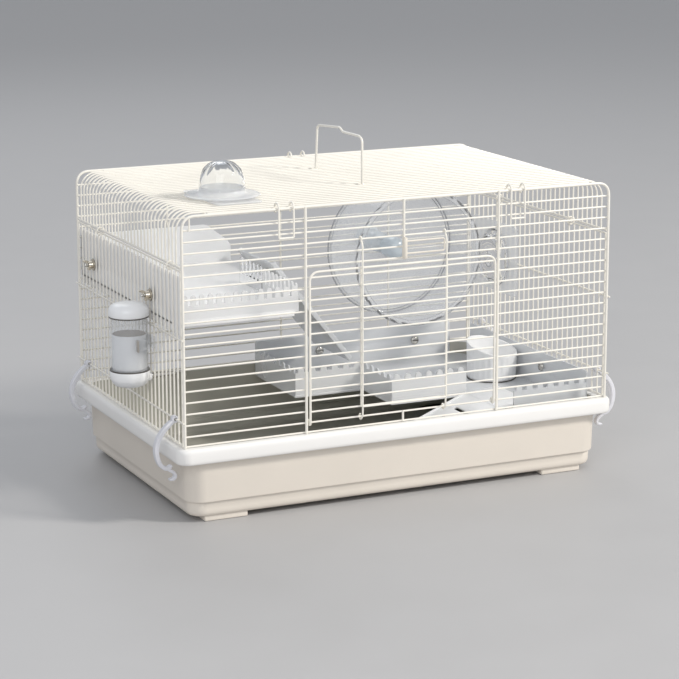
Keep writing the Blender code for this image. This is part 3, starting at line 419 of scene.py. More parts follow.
# ---------------------------------------------------------------- camera
AZ, EL, ROLL = math.radians(-24.922), math.radians(12.996), math.radians(-0.155)
back_v = Vector((math.sin(AZ) * math.cos(EL), -math.cos(AZ) * math.cos(EL), math.sin(EL)))
right_v = (-back_v).cross(Vector((0, 0, 1))).normalized()
up_v = back_v.cross(right_v)
rx = right_v * math.cos(ROLL) + up_v * math.sin(ROLL)
ry = -right_v * math.sin(ROLL) + up_v * math.cos(ROLL)
cam = bpy.data.cameras.new("camera")
cam.sensor_width = 36.0
cam.lens = 2347.4 * 36.0 / 679.0
cam_obj = bpy.data.objects.new("camera", cam)
pos = Vector((-0.98046, -2.11150, 0.66441)) + O
cam_obj.matrix_world = Matrix(((rx.x, ry.x, back_v.x, pos.x), (rx.y, ry.y, back_v.y, pos.y), (rx.z, ry.z, back_v.z, pos.z), (0, 0, 0, 1)))
cam.clip_end = 60
scene.collection.objects.link(cam_obj)
scene.camera = cam_obj

# ---------------------------------------------------------------- tray
levels = [
    # half x, half y, corner, z, slot of the band that starts here
    (0.2120, 0.1355, 0.0110, 0.0050, 1), (0.2152, 0.1387, 0.0135, 0.0054, 1), (0.2174, 0.1409, 0.0150, 0.0070, 1),
    (0.2183, 0.1418, 0.0158, 0.0095, 1), (0.2185, 0.1420, 0.0160, 0.0125, 1), (0.2187, 0.1422, 0.0160, 0.0193, 1),
    (0.2192, 0.1427, 0.0162, 0.0199, 1), (0.2203, 0.1438, 0.0170, 0.0202, 1), (0.2210, 0.1445, 0.0176, 0.0207, 1),
    (0.2213, 0.1448, 0.0178, 0.0220, 1), (0.2222, 0.1455, 0.0180, 0.0586, 1), (0.2225, 0.1457, 0.0180, 0.0596, 1),
    (0.2234, 0.1464, 0.0170, 0.0600, 0), (0.2306, 0.1514, 0.0112, 0.0601, 0), (0.2323, 0.1528, 0.0116, 0.0606, 0),
    (0.2332, 0.1535, 0.0119, 0.0617, 0), (0.2335, 0.1537, 0.0120, 0.0640, 0), (0.2335, 0.1537, 0.0120, 0.0708, 0),
    (0.2332, 0.1534, 0.0119, 0.0730, 0), (0.2323, 0.1526, 0.0115, 0.0747, 0), (0.2308, 0.1512, 0.0110, 0.0756, 0),
    (0.2290, 0.1496, 0.0110, 0.0758, 0), (0.2222, 0.1452, 0.0150, 0.0758, 0), (0.2209, 0.1441, 0.0156, 0.0754, 0),
    # slot 2 from here on is the inside, coloured as painted shade
    (0.2202, 0.1435, 0.0158, 0.0742, 2), (0.2198, 0.1431, 0.0158, 0.0600, 2), (0.2194, 0.1427, 0.0156, 0.0232, 2),
    (0.2188, 0.1421, 0.0152, 0.0222, 2), (0.2172, 0.1406, 0.0142, 0.0219, 2), (0.2164, 0.1399, 0.0138, 0.0210, 2),
    (0.2162, 0.1397, 0.0138, 0.0125, 2), (0.2157, 0.1392, 0.0135, 0.0098, 2), (0.2142, 0.1377, 0.0125, 0.0081, 2),
    (0.2115, 0.1350, 0.0110, 0.0075, 2),
]
bm = bmesh.new()
rings = []
for a, b, r, z, slot in levels:
    rings.append([bm.verts.new((x, y, z)) for x, y in rr(a, b, r, 12)])
for (lo, hi), (_, _, _, _, slot) in zip(zip(rings, rings[1:]), levels):
    n = len(lo)
    for k in range(n):
        bm.faces.new((lo[k], lo[(k + 1) % n], hi[(k + 1) % n], hi[k])).material_index = slot
bm.faces.new(list(reversed(rings[0]))).material_index = 1
bm.faces.new(rings[-1]).material_index = 2
for sx in (-1, 1):
    for sy in (-1, 1):
        xs, ys = sorted((sx * 0.2040, sx * 0.1600)), sorted((sy * 0.1385, sy * 0.0950))
        add(bm, rbox((xs[0], ys[0], 0.0), (xs[1], ys[1], 0.0075), 0.0011, 3), None, 1)
piece("tray_shell", bm, [RIM, BODY, TRAY_INSIDE_SHADE], "housing", ["tray"], 40)

# ---------------------------------------------------------------- front and back wires
x_post = CAGE_X - POST_R
for side, label in ((-1, "left"), (1, "right")):
    bm = bmesh.new()
    for z in ROW:
        wire(bm, [(side * MULLION, FY, z), (side * x_post, FY, z)], HALF)
    wire(bm, [(side * MULLION, FY, SILL), (side * x_post, FY, SILL)], HALF)
    wire(bm, fillet([(side * x_post, VY, SILL - 0.0007), (side * x_post, VY, TOP - 0.0014), (side * (MULLION + 0.0004), VY + 0.0008, TOP - 0.0014)], 0.0135, 9), 0.0014, 10)
    wire(bm, [(side * MULLION, VY, SILL - 0.0007), (side * MULLION, VY, TOP - 0.0010)], POST_R, 10)
    if side < 0:
        wire(bm, [(-0.2181, VY + 0.0004, ROW[0] - 0.0005), (-0.2181, VY + 0.0004, TOP - 0.0012)], 0.0009)
    piece(f"front_wires_{label}", bm, COAT, "housing", [f"front_grille_{label}"])
bm = bmesh.new()
for k in range(5):
    wire(bm, [(-MULLION, FY, ROW[k]), (MULLION, FY, ROW[k])], HALF)
wire(bm, [(-MULLION - 0.0004, FY, TOP - 0.0014), (MULLION + 0.0004, FY, TOP - 0.0014)], 0.0014, 10)
wire(bm, [(0, VY, ROW[4] - 0.0004), (0, VY, TOP - 0.0012)], 0.0013, 10)
piece("front_wires_top", bm, COAT, "housing", ["front_grille_top"])
bm = bmesh.new()
wire(bm, [(-MULLION, FY, SILL), (MULLION, FY, SILL)], HALF)
wire(bm, [(-MULLION, FY, HINGE_Z), (MULLION, FY, HINGE_Z)], HALF)
wire(bm, [(0, FY - 0.0009, SILL), (0, FY - 0.0009, HINGE_Z + 0.0006)], 0.0011)
piece("front_wires_sill", bm, COAT, "housing", ["front_sill"])

bm = bmesh.new()
for z in ROW:
    wire(bm, [(-x_post, BY, z), (x_post, BY, z)], HALF)
wire(bm, [(-x_post, BY, SILL), (x_post, BY, SILL)], HALF)
for x in (-0.128, 0.0, 0.128):
    wire(bm, [(x, BY + 0.0021, SILL - 0.0004), (x, BY + 0.0021, TOP - 0.0014)], 0.0012, 10)
yb = BY + 0.0012
wire(bm, fillet([(-x_post, yb, SILL - 0.0007), (-x_post, yb, TOP - 0.0014), (x_post, yb, TOP - 0.0014), (x_post, yb, SILL - 0.0007)], 0.0135, 9), 0.0014, 10)
piece("back_wires", bm, COAT, "housing", ["back_grille"])

# ---------------------------------------------------------------- side wires, roof and bent skirts
MID_RAIL, LOW_RAIL = 0.1790, 0.1005
for side, label in ((-1, "left"), (1, "right")):
    bm = bmesh.new()
    for y in side_y:
        wire(bm, [(side * SIDE_X, y, SILL - 0.0004), (side * SIDE_X, y, SIDE_TOP + 0.0004)], HALF)
    for z in (SILL, SIDE_TOP):
        wire(bm, [(side * (SIDE_X - 0.0003), -SIDE_HALF, z), (side * (SIDE_X - 0.0003), SIDE_HALF, z)], HALF)
    for z in (MID_RAIL, LOW_RAIL):
        wire(bm, [(side * (SIDE_X + 0.0018), -0.1496, z), (side * (SIDE_X + 0.0018), 0.1496, z)], 0.00095, 10)
    piece(f"side_wires_{label}", bm, COAT, "housing", [f"side_grille_{label}"])

bm = bmesh.new()
for y in roof_y:
    wire(bm, [(roof_lo.x + 0.0006, y, ROOF_Z), (roof_hi.x - 0.0006, y, ROOF_Z)], HALF)
for x in (roof_lo.x + HALF, roof_hi.x - HALF):
    wire(bm, [(x, -ROOF_HALF + 0.0004, ROOF_Z - 0.0012), (x, ROOF_HALF - 0.0004, ROOF_Z - 0.0012)], HALF)
for x in (-0.102, 0.0, 0.102):
    wire(bm, [(x, -ROOF_HALF + 0.0004, ROOF_Z - 0.0017), (x, ROOF_HALF - 0.0004, ROOF_Z - 0.0017)], 0.00105, 10)
piece("roof_wires", bm, COAT, "housing", ["roof_grille"])

for side, start, label in ((-1, roof_lo.x, "left"), (1, roof_hi.x, "right")):
    bm = bmesh.new()
    for y in roof_y[1:-1]:
        path = [(start - side * 0.0004, y, ROOF_Z)]
        for s in range(11):
            t = math.pi / 2 * s / 10
            path.append((side * (SIDE_X - 0.016 * (1 - math.sin(t))), y, ROOF_Z - 0.016 * (1 - math.cos(t))))
        path.append((side * SIDE_X, y, 0.2458))
        wire(bm, path, HALF)
    wire(bm, [(side * SIDE_X, -SIDE_HALF, 0.2461), (side * SIDE_X, SIDE_HALF, 0.2461)], 0.0012, 10)
    piece(f"skirt_wires_{label}", bm, COAT, "housing", [f"roof_skirt_{label}"])

for label in ("left_front", "left_rear", "right_front", "right_rear"):
    lo, hi = local(f"panel_ring_{label}")
    c = (lo + hi) / 2
    bm = bmesh.new()
    wire(bm, [(c.x + 0.0038 * math.cos(t), c.y + 0.0009 * math.sin(t * 0.5), c.z + 0.0038 * math.sin(t)) for t in [math.radians(20 + 352 * k / 30) for k in range(31)]], 0.0008)
    piece(f"tie_ring_{label}", bm, COAT, "housing", [f"panel_ring_{label}"])

# ---------------------------------------------------------------- doors and latch
DOOR_Y = FY - 0.0026
SMALL_Y = FY - 0.0051
leg_x = local("large_door")[1].x - 0.0011
door_top = local("large_door")[1].z - 0.0011
bm = bmesh.new()
half_eye = lambda x, y_leg, sign=1: [
    (x, FY + 0.0024 * math.cos(t), HINGE_Z + 0.0024 * math.sin(t)) for t in [math.radians(a) for a in range(70, -166, -20)]
]
path = half_eye(-leg_x, DOOR_Y) + [(-leg_x, DOOR_Y, HINGE_Z + 0.0016)]
frame_path = path + [Vector(p) for p in fillet([(-leg_x, DOOR_Y, HINGE_Z + 0.004), (-leg_x, DOOR_Y, door_top), (leg_x, DOOR_Y, door_top), (leg_x, DOOR_Y, HINGE_Z + 0.004)], 0.0100, 7)]
frame_path += [(leg_x, DOOR_Y, HINGE_Z + 0.0016)] + list(reversed(half_eye(leg_x, DOOR_Y)))
wire(bm, frame_path, 0.00115, 10)
BAR = {-1: -0.0455, 1: 0.0462}
for k in range(5, 18):
    if k == 17:
        wire(bm, [(-leg_x, DOOR_Y + 0.0002, ROW[k]), (leg_x, DOOR_Y + 0.0002, ROW[k])], HALF)
    else:
        for sx in (-1, 1):
            wire(bm, [(sx * leg_x, DOOR_Y + 0.0002, ROW[k]), (BAR[sx], DOOR_Y + 0.0002, ROW[k])], HALF)
for sx in (-1, 1):
    wire(bm, [(BAR[sx], DOOR_Y + 0.0001, ROW[17]), (BAR[sx], DOOR_Y + 0.0001, door_top)], 0.00085)
piece("large_door_wires", bm, COAT, "large_door", ["large_door"])

bm = bmesh.new()
SL, SR = -0.0450, 0.0442
for x in (SL, SR):
    leg = [(x, p[1], p[2]) for p in half_eye(x, SMALL_Y)]
    leg += smooth([(x, FY - 0.0031, HINGE_Z - 0.0004), (x, SMALL_Y + 0.0006, HINGE_Z + 0.0014), (x, SMALL_Y, HINGE_Z + 0.0050)], 4)
    leg += [(x, SMALL_Y, ROW[17]), (x, SMALL_Y, ROW[3] + 0.0010)]
    leg += smooth([(x, SMALL_Y + 0.0001, ROW[3] + 0.0040), (x, SMALL_Y + 0.0012, ROW[3] + 0.0072), (x, FY - 0.0022, ROW[2] - 0.0014), (x, FY - 0.0022, ROW[2] + 0.0008), (x, FY - 0.0012, ROW[2] + 0.0021), (x, FY + 0.0004, ROW[2] + 0.0020), (x, FY + 0.0012, ROW[2] + 0.0010)], 4)
    wire(bm, leg, 0.00095, 8)
for k in range(5, 18):
    wire(bm, [(SL, SMALL_Y - 0.0004, ROW[k]), (SR, SMALL_Y - 0.0004, ROW[k])], HALF if k != 5 else 0.00095)
piece("small_door_wires", bm, COAT, "small_door", ["small_door"])

lo, hi = local("door_latch")
bm = bmesh.new()
sleeve = [(0.00165, lo.z), (0.00235, lo.z), (0.0025, lo.z + 0.0003), (0.0025, hi.z - 0.0003), (0.00235, hi.z), (0.00165, hi.z)]
latch_y = (lo.y + hi.y) / 2
add(bm, lathe(sleeve, about(0, latch_y, 0), 24), None, 0)
wire(bm, [(0, latch_y, lo.z - 0.0004), (0, latch_y, hi.z + 0.0004)], 0.00145, 10)
z0, z1 = hi.z - 0.0033, lo.z + 0.0047
wire(bm, fillet([(0.0010, latch_y - 0.0010, z0), (hi.x - 0.0009, latch_y - 0.0010, z0), (hi.x - 0.0009, latch_y - 0.0010, z1), (0.0010, latch_y - 0.0010, z1)], 0.0022, 5), 0.0009)
# the latch takes the darker coating copy as painted shade
piece("latch_wires", bm, COAT_SHADE, "door_latch", ["door_latch"])

# ---------------------------------------------------------------- handle and clips of wire
lo, hi = local("carry_handle")
AXZ = (lo.z + 0.0031)
gf, gb = lo.y + 0.0013, hi.y - 0.0013
bow = fillet(
    [(0, gf, AXZ + 0.0030), (0, gf + 0.0002, 0.3392), (0, gf + 0.0075, 0.3416), (0, -0.0105, 0.3412), (0, -0.0028, 0.3446), (0, gb - 0.0045, 0.3405), (0, gb, AXZ + 0.0030)],
    0.0070, 7,
)
bm = bmesh.new()
eye_front = [(0.0024 * math.cos(t), gf, AXZ + 0.0024 * math.sin(t)) for t in [math.radians(a) for a in range(-230, 91, 20)]]
eye_back = [(0.0024 * math.cos(t), gb, AXZ + 0.0024 * math.sin(t)) for t in [math.radians(a) for a in range(90, 411, 20)]]
wire(bm, eye_front + bow + eye_back, 0.00125, 10)
piece("handle_wire", bm, COAT, "carry_handle", ["carry_handle"])

for name, body, sx in (("roof_clip_left", "roof_clip_left", -1), ("roof_clip_right", "roof_clip_right", 1)):
    lo, hi = local(name)
    yc, zc = -0.1442, 0.2944
    x0, x1 = (lo.x + 0.001, hi.x - 0.001)
    arc = [(yc + 0.0050 * math.cos(t), zc + 0.0050 * math.sin(t)) for t in [math.radians(a) for a in range(-55, 181, 15)]]
    leg = [(x0, y, z) for y, z in arc] + [(x0, yc - 0.0050, lo.z + 0.0040)]
    foot = fillet([(x0, yc - 0.0050, lo.z + 0.0040), (x0, yc - 0.0050, lo.z + 0.0010), (x1, yc - 0.0050, lo.z + 0.0010), (x1, yc - 0.0050, lo.z + 0.0040)], 0.0020, 5)
    other = [(x1, yc - 0.0050, lo.z + 0.0040)] + [(x1, y, z) for y, z in reversed(arc)]
    bm = bmesh.new()
    wire(bm, leg + foot[1:-1] + other, 0.00095, 8)
    piece(f"{name}_wire", bm, COAT, body, [name])
lo, hi = local("rear_roof_clip")
yc, zc = 0.1442, 0.2944
arc = [(yc - 0.0050 * math.cos(t), zc + 0.0050 * math.sin(t)) for t in [math.radians(a) for a in range(-40, 181, 15)]]
x0, x1 = lo.x + 0.001, hi.x - 0.001
bm = bmesh.new()
wire(bm, [(x0, y, z) for y, z in arc] + fillet([(x0, yc + 0.0050, lo.z + 0.004), (x0, yc + 0.0050, lo.z + 0.001), (x1, yc + 0.0050, lo.z + 0.001), (x1, yc + 0.0050, lo.z + 0.004)], 0.002, 5) + [(x1, y, z) for y, z in reversed(arc)], 0.00095, 8)
piece("rear_roof_clip_wire", bm, COAT, "housing", ["rear_roof_clip"])


# ---------------------------------------------------------------- curved tray clips
def strap(bm, path, thick, y0, width, corner=0.0009, sides=4):
    """A strap with rounded edges along a path in XZ."""
    pts = smooth([(x, 0, z) for x, z in path], 5)
    n = len(pts)
    rings = []
    for i, p in enumerate(pts):
        d = (pts[min(i + 1, n - 1)] - pts[max(i - 1, 0)]).normalized()
        nrm = Vector((-d.z, 0, d.x))
        s = i / (n - 1) * (len(thick) - 1)
        k = min(int(s), len(thick) - 2)
        t = thick[k] * (1 - (s - k)) + thick[k + 1] * (s - k)
        end = min(1.0, (i + 0.6) / 2.0, (n - 0.4 - i) / 2.0)
        t *= 0.55 + 0.45 * end
        w = width * (0.86 + 0.14 * end)
        rings.append([bm.verts.new(p + nrm * a + Vector((0, y0 + b, 0))) for a, b in rr(t / 2, w / 2, min(corner, t * 0.45), sides)])
    for lo_r, hi_r in zip(rings, rings[1:]):
        m = len(lo_r)
        for k in range(m):
            bm.faces.new((lo_r[k], lo_r[(k + 1) % m], hi_r[(k + 1) % m], hi_r[k]))
    bm.faces.new(list(reversed(rings[0])))
    bm.faces.new(rings[-1])


clip_path = [(0.2305, 0.0985), (0.2345, 0.0955), (0.2410, 0.0890), (0.2455, 0.0815), (0.2475, 0.0730), (0.2465, 0.0645), (0.2432, 0.0572), (0.2375, 0.0535), (0.2325, 0.0560)]
clip_thick = [0.0036, 0.0042, 0.0044, 0.0044, 0.0044, 0.0042, 0.0040, 0.0036, 0.0028]
tab_path = [(0.2415, 0.0562), (0.2350, 0.0520), (0.2305, 0.0488), (0.2290, 0.0455), (0.2310, 0.0428), (0.2350, 0.0424)]
tab_thick = [0.0030, 0.0032, 0.0030, 0.0028, 0.0026, 0.0020]
for side, s_label in ((-1, "left"), (1, "right")):
    for f_label in ("front", "rear"):
        node = f"tray_clip_{s_label}_{f_label}"
        lo, hi = local(node)
        y = (lo.y + hi.y) / 2
        bm = bmesh.new()
        strap(bm, [(side * a, b) for a, b in clip_path], clip_thick, y, 0.0064)
        strap(bm, [(side * a, b) for a, b in tab_path], tab_thick, y, 0.0060)
        pivot = side * (CAGE_X + 0.0012)
        w = 0.0031
        add(bm, lathe([(0.0016, -w), (0.0030, -w), (0.0035, -w + 0.0005), (0.0035, w - 0.0005), (0.0030, w), (0.0016, w)], about(pivot, y, LOW_RAIL, "Y"), 28), None, 0)
        piece(f"{node}_strap", bm, CLIP, node, [node], 45)

# ---------------------------------------------------------------- roof and side ports
lo, hi = local("roof_port_plate")
DX, DY = (lo.x + hi.x) / 2, (lo.y + hi.y) / 2
bm = plate([rr(0.0230, 0.0450, 0.0030, 5, (DX, DY)), circle(DX, DY, 0.0200, 48)], 0.0016, "XY", (lo.z + hi.z) / 2, 0.0003)
piece("roof_port_sheet", bm, HAZE, "housing", ["roof_port_plate"])
Z0 = TOP
outer, inner = [], []
for k in range(1, 17):
    t = math.pi / 2 * k / 17
    outer.append((0.0222 * math.cos(t) ** 0.72, 0.0085 + 0.0270 * math.sin(t)))
    inner.append((0.0207 * math.cos(t) ** 0.72, 0.0085 + 0.0254 * math.sin(t)))
profile = [(0.0203, 0.0024), (0.0345, 0.0024), (0.0358, 0.0027), (0.0362, 0.0033), (0.0356, 0.0039), (0.0330, 0.0043), (0.0285, 0.0046), (0.0250, 0.0052), (0.0230, 0.0064), (0.0223, 0.0084)]
profile += outer + [(0.0, 0.0355)]
dome = [(r, z) for r, z in profile] + [(0.0, 0.0339)] + [(r, z) for r, z in reversed(inner)] + [(0.0207, 0.0085), (0.0205, 0.0060)]


def dome_flute(t, r, z):
    if z < 0.0230 or r < 0.003:
        return r
    return r * (1 + 0.035 * math.cos(14 * t) * min(1, (z - 0.0230) / 0.004) * min(1, (r - 0.003) / 0.006))


bm = lathe(dome, about(DX, DY, Z0), 84, True, dome_flute, [1] * 9 + [0] * (len(dome) - 12) + [1] * 3)
piece("roof_port_dome_shell", bm, [CLEAR, HAZE], "roof_port_dome", ["roof_port_dome"], 60)

lo, hi = local("side_port_plate")
px = (lo.x + hi.x) / 2
cap_lo, cap_hi = local("side_port_cap")
PY, PZ = (cap_lo.y + cap_hi.y) / 2, (cap_lo.z + cap_hi.z) / 2
bm = plate([rr((hi.y - lo.y) / 2, (hi.z - lo.z) / 2, 0.0070, 6, ((lo.y + hi.y) / 2, (lo.z + hi.z) / 2)), circle(PY, PZ, 0.0275, 48)], 0.0018, "YZ", px, 0.0003)
piece("side_port_sheet", bm, HAZE, "housing", ["side_port_plate"])
x0 = cap_lo.x
cap = [(0.0, 0.0), (0.0, 0.0016), (0.0060, 0.0016), (0.0070, 0.0021), (0.0080, 0.0016), (0.0222, 0.0016), (0.0236, 0.0022), (0.0240, 0.0034), (0.0240, 0.0078), (0.0246, 0.0085), (0.0303, 0.0085), (0.0309, 0.0082), (0.0310, 0.0077), (0.0304, 0.0070), (0.0270, 0.0070), (0.0262, 0.0062), (0.0260, 0.0016), (0.0250, 0.0003), (0.0235, 0.0)]
bm = lathe(cap, about(x0, PY, PZ, "X"), 64)
piece("side_port_dish", bm, CLEAR, "side_port_cap", ["side_port_cap"], 50)


# ---------------------------------------------------------------- fasteners
def fastener(name, bolt_node, nut_node, along):
    along = Vector(along)
    b_lo, b_hi = local(bolt_node)
    c = (b_lo + b_hi) / 2
    n_lo, n_hi = local(nut_node)
    head_end = min(b_lo.dot(along), b_hi.dot(along))
    tip = max(b_lo.dot(along), b_hi.dot(along))
    nut0 = min(n_lo.dot(along), n_hi.dot(along))
    base = c - along * c.dot(along)
    axis = "Y" if abs(along.y) > 0.5 else "X"
    m = Matrix.Translation(base) @ (Matrix.Identity(4))
    turn = Vector((0, 0, 1)).rotation_difference(along).to_matrix().to_4x4()
    m = Matrix.Translation(base) @ turn
    bm = lathe([(0.0, head_end), (0.0020, head_end + 0.0001), (0.0036, head_end + 0.0007), (0.0046, head_end + 0.0017), (0.0048, head_end + 0.0025), (0.0046, head_end + 0.0028), (0.0018, head_end + 0.0028)]
               + [(0.0018 if k % 2 else 0.0016, head_end + 0.0034 + (tip - head_end - 0.0040) * k / 26) for k in range(27)] + [(0.0012, tip), (0.0, tip)], m, 24, False)
    # dark bar across the screw head: painted shade in its slot
    add(bm, rbox((-0.0031, -0.0004, head_end - 0.00015), (0.0031, 0.0004, head_end + 0.0010), 0), m, 1)
    piece(f"{name}_screw", bm, [ZINC, DARK_RING_AND_SLOT_SHADE], "housing", [bolt_node], 50)
    z = nut0
    bm = lathe([(0.0021, z), (0.0056, z), (0.0058, z + 0.0004), (0.0056, z + 0.0011), (0.0040, z + 0.0014), (0.0037, z + 0.0020), (0.0031, z + 0.0048), (0.0028, z + 0.0052), (0.0021, z + 0.0052)], m, 28)
    up = turn.inverted().to_3x3() @ Vector((0, 0, 1))
    across = turn.inverted().to_3x3() @ along.cross(Vector((0, 0, 1)))
    for sign in (-1, 1):
        tilt = (up * 0.42 + across * 0.91).normalized() * sign
        side = Vector((0, 0, 1)).cross(tilt)
        blade = plate([[(0.0016, 0.0012), (0.0042, 0.0014), (0.0064, 0.0030), (0.0080, 0.0056), (0.0082, 0.0074), (0.0072, 0.0084), (0.0056, 0.0082), (0.0038, 0.0066), (0.0020, 0.0050)]], 0.0012, "XY", 0, 0.0003)
        fm = Matrix(((tilt.x, 0, side.x, 0), (tilt.y, 0, side.y, 0), (tilt.z, 1, side.z, z + 0.0001), (0, 0, 0, 1)))
        add(bm, blade, m @ fm, 0)
    piece(f"{name}_nut", bm, ZINC if "upper" not in name else BRASSY, "housing", [nut_node], 50)
    washer = lathe([(0.0024, nut0 - 0.0003), (0.0064, nut0 - 0.0003), (0.0064, nut0 - 0.00005), (0.0024, nut0 - 0.00005)], m, 28)
    piece(f"{name}_washer", washer, ZINC, "housing", (), 50)


fastener("upper_front", "upper_platform_front_bolt", "upper_platform_front_wing_nut", (-1, 0, 0))
fastener("upper_rear", "upper_platform_rear_bolt", "upper_platform_rear_wing_nut", (-1, 0, 0))
fastener("lower_left", "lower_platform_left_bolt", "lower_platform_left_wing_nut", (0, 1, 0))
fastener("lower_middle", "lower_platform_middle_bolt", "lower_platform_middle_wing_nut", (0, 1, 0))
fastener("lower_right", "lower_platform_right_bolt", "lower_platform_right_wing_nut", (1, 0, 0))


# ---------------------------------------------------------------- upper corner platform
def teeth(a0, a1, z0, z1, z2, pitch, share=0.55, arc=4):
    """Outline of a low wall z0..z1 with rounded pickets up to z2."""
    n = max(1, round((a1 - a0) / pitch))
    step = (a1 - a0) / n
    top = []
    for k in range(n):
        c = a1 - (k + 0.5) * step
        w = step * share / 2
        top += [(c + w * 1.12, z1)]
        top += [(c + w * math.cos(math.pi * s / arc), z2 - w + w * math.sin(math.pi * s / arc)) for s in range(arc + 1)]
        top += [(c - w * 1.12, z1)]
    return [(a0, z0), (a1, z0), (a1, z1)] + top + [(a0, z1)]


lo, hi = local("upper_platform")
SHELF = 0.1880
left_in, back_in = lo.x, hi.y
bm = bmesh.new()
floor_outline = [(left_in, -0.1150), (-0.0990, -0.1150), (-0.0950, -0.1100), (-0.0950, 0.0300), (-0.0600, 0.0300), (-0.0600, back_in), (left_in, back_in)]
add(bm, plate([floor_outline], 0.0022, "XY", SHELF + 0.0011, 0.0004), None, 0)
y_bolts = [(local(f"upper_platform_{s}_bolt")[0].y + local(f"upper_platform_{s}_bolt")[1].y) / 2 for s in ("front", "rear")]
zb = 0.2070
add(bm, plate([fillet2 for fillet2 in [[(-0.1410, 0.1840), (-0.1385, 0.1812), (back_in, 0.1812), (back_in, 0.2370), (-0.1380, 0.2370), (-0.1410, 0.2340)]]] + [circle(y, zb, 0.0024, 16) for y in y_bolts], 0.0018, "YZ", left_in + 0.0009, 0.0003), None, 0)
add(bm, plate([[(left_in, SHELF), (-0.0600, SHELF), (-0.0600, 0.2060), (-0.0640, 0.2120), (-0.0860, 0.2290), (-0.0900, 0.2300), (left_in, 0.2300)]], 0.0018, "XZ", back_in - 0.0009, 0.0003), None, 1)
add(bm, plate([teeth(left_in + 0.0005, -0.0955, SHELF + 0.0004, 0.2035, 0.2135, 0.0086, 0.58)], 0.0017, "XZ", -0.1139), None, 1)
add(bm, plate([teeth(-0.1145, -0.0300, SHELF + 0.0004, 0.2000, 0.2150, 0.0092, 0.55)], 0.0017, "YZ", -0.0961), None, 1)
add(bm, plate([teeth(-0.0290, 0.0290, SHELF + 0.0004, 0.2000, 0.2165, 0.0092, 0.55)], 0.0017, "YZ", -0.0961), None, 2)
# a stepped lip under the front edge
add(bm, rbox((left_in + 0.0010, -0.1160, SHELF - 0.0040), (-0.1000, -0.1120, SHELF + 0.0004), 0.0008, 2), None, 0)
for y in (-0.070, 0.000, 0.070):
    add(bm, rbox((left_in + 0.001, y - 0.0008, SHELF - 0.0042), (-0.0985, y + 0.0008, SHELF + 0.0004), 0.0003, 1), None, 0)
piece("upper_platform_moulding", bm, [WHITE, MILK, CLEAR], "housing", ["upper_platform"], 40)

# ---------------------------------------------------------------- upper ramp
x_a, z_a, x_b, z_b = -0.0575, 0.2040, 0.0310, 0.0935
angle = math.atan2(z_a - z_b, x_b - x_a)
length = math.hypot(z_a - z_b, x_b - x_a)
tilt = Matrix.Translation(((x_a + x_b) / 2, 0.0840, (z_a + z_b) / 2)) @ Matrix.Rotation(angle, 4, "Y")
bm = bmesh.new()
add(bm, rbox((-length / 2, -0.0450, -0.0010), (length / 2, 0.0450, 0.0010), 0.0004, 2), tilt, 0)
for sy in (-1, 1):
    add(bm, rbox((-length / 2 + 0.001, sy * 0.0440 - 0.0009, -0.0008), (length / 2 - 0.001, sy * 0.0440 + 0.0009, 0.0042), 0.0005, 2), tilt, 0)
steps = 17
for k in range(steps):
    x = -length / 2 + 0.006 + (length - 0.012) * k / (steps - 1)
    add(bm, rbox((x - 0.0008, -0.0425, 0.0006), (x + 0.0008, 0.0425, 0.0020), 0.0003, 1), tilt, 0)
piece("upper_ramp_moulding", bm, FROST, "housing", ["upper_ramp"], 40)

# ---------------------------------------------------------------- lower corner platform
lo, hi = local("lower_platform")
LZ = lo.z
right_in, lower_back = hi.x, hi.y
bm = bmesh.new()
outline = [(-0.0330, 0.0360), (0.0440, 0.0360), (0.0440, -0.0320), (0.1680, -0.0320), (0.1680, -0.1050), (0.1340, -0.1050), (0.1340, -0.1260), (right_in, -0.1260), (right_in, 0.1240), (0.2010, lower_back), (-0.0330, lower_back)]
add(bm, plate([outline], 0.0020, "XY", LZ + 0.0010, 0.0004), None, 0)
bx = [(local(f"lower_platform_{s}_bolt")[0].x + local(f"lower_platform_{s}_bolt")[1].x) / 2 for s in ("left", "middle")]
bz = (local("lower_platform_left_bolt")[0].z + local("lower_platform_left_bolt")[1].z) / 2
ry = (local("lower_platform_right_bolt")[0].y + local("lower_platform_right_bolt")[1].y) / 2
rz = (local("lower_platform_right_bolt")[0].z + local("lower_platform_right_bolt")[1].z) / 2
add(bm, plate([[(-0.0330, LZ), (0.2010, LZ), (0.2010, 0.0972), (0.1992, 0.0990), (-0.0312, 0.0990), (-0.0330, 0.0972)]] + [circle(x, bz, 0.0024, 16) for x in bx], 0.0018, "XZ", lower_back - 0.0009, 0.0003), None, 0)
add(bm, plate([[(-0.1260, LZ), (0.1240, LZ), (0.1240, 0.0990), (-0.1235, 0.0990), (-0.1260, 0.0968)]] + [circle(ry, rz, 0.0024, 16)], 0.0018, "YZ", right_in - 0.0009, 0.0003), None, 0)
add(bm, plate([teeth(-0.0326, 0.0440, LZ + 0.0004, 0.0868, 0.0922, 0.0128, 0.52, 8)], 0.0017, "XZ", 0.0369), None, 1)
add(bm, plate([teeth(0.0362, 0.1400, LZ + 0.0006, 0.0866, 0.0918, 0.0128, 0.52, 8)], 0.0017, "YZ", -0.0321), None, 0)
add(bm, plate([teeth(-0.0314, 0.0372, LZ + 0.0008, 0.0866, 0.0918, 0.0128, 0.52, 8)], 0.0017, "YZ", 0.0449), None, 0)
add(bm, plate([teeth(0.1342, right_in - 0.0006, LZ + 0.0004, 0.0868, 0.0922, 0.0128, 0.52, 8)], 0.0017, "XZ", -0.1249), None, 0)
add(bm, plate([teeth(0.0446, 0.1300, LZ + 0.0004, 0.0868, 0.0922, 0.0128, 0.52, 8)], 0.0017, "XZ", -0.0311), None, 1)
for (a, b) in (((-0.0335, 0.0355, LZ - 0.0003), (0.0445, 0.0380, LZ + 0.0022)), ((0.0435, -0.0325, LZ - 0.0003), (0.1310, -0.0300, LZ + 0.0022))):
    add(bm, rbox(a, b, 0.0006, 2), None, 1)
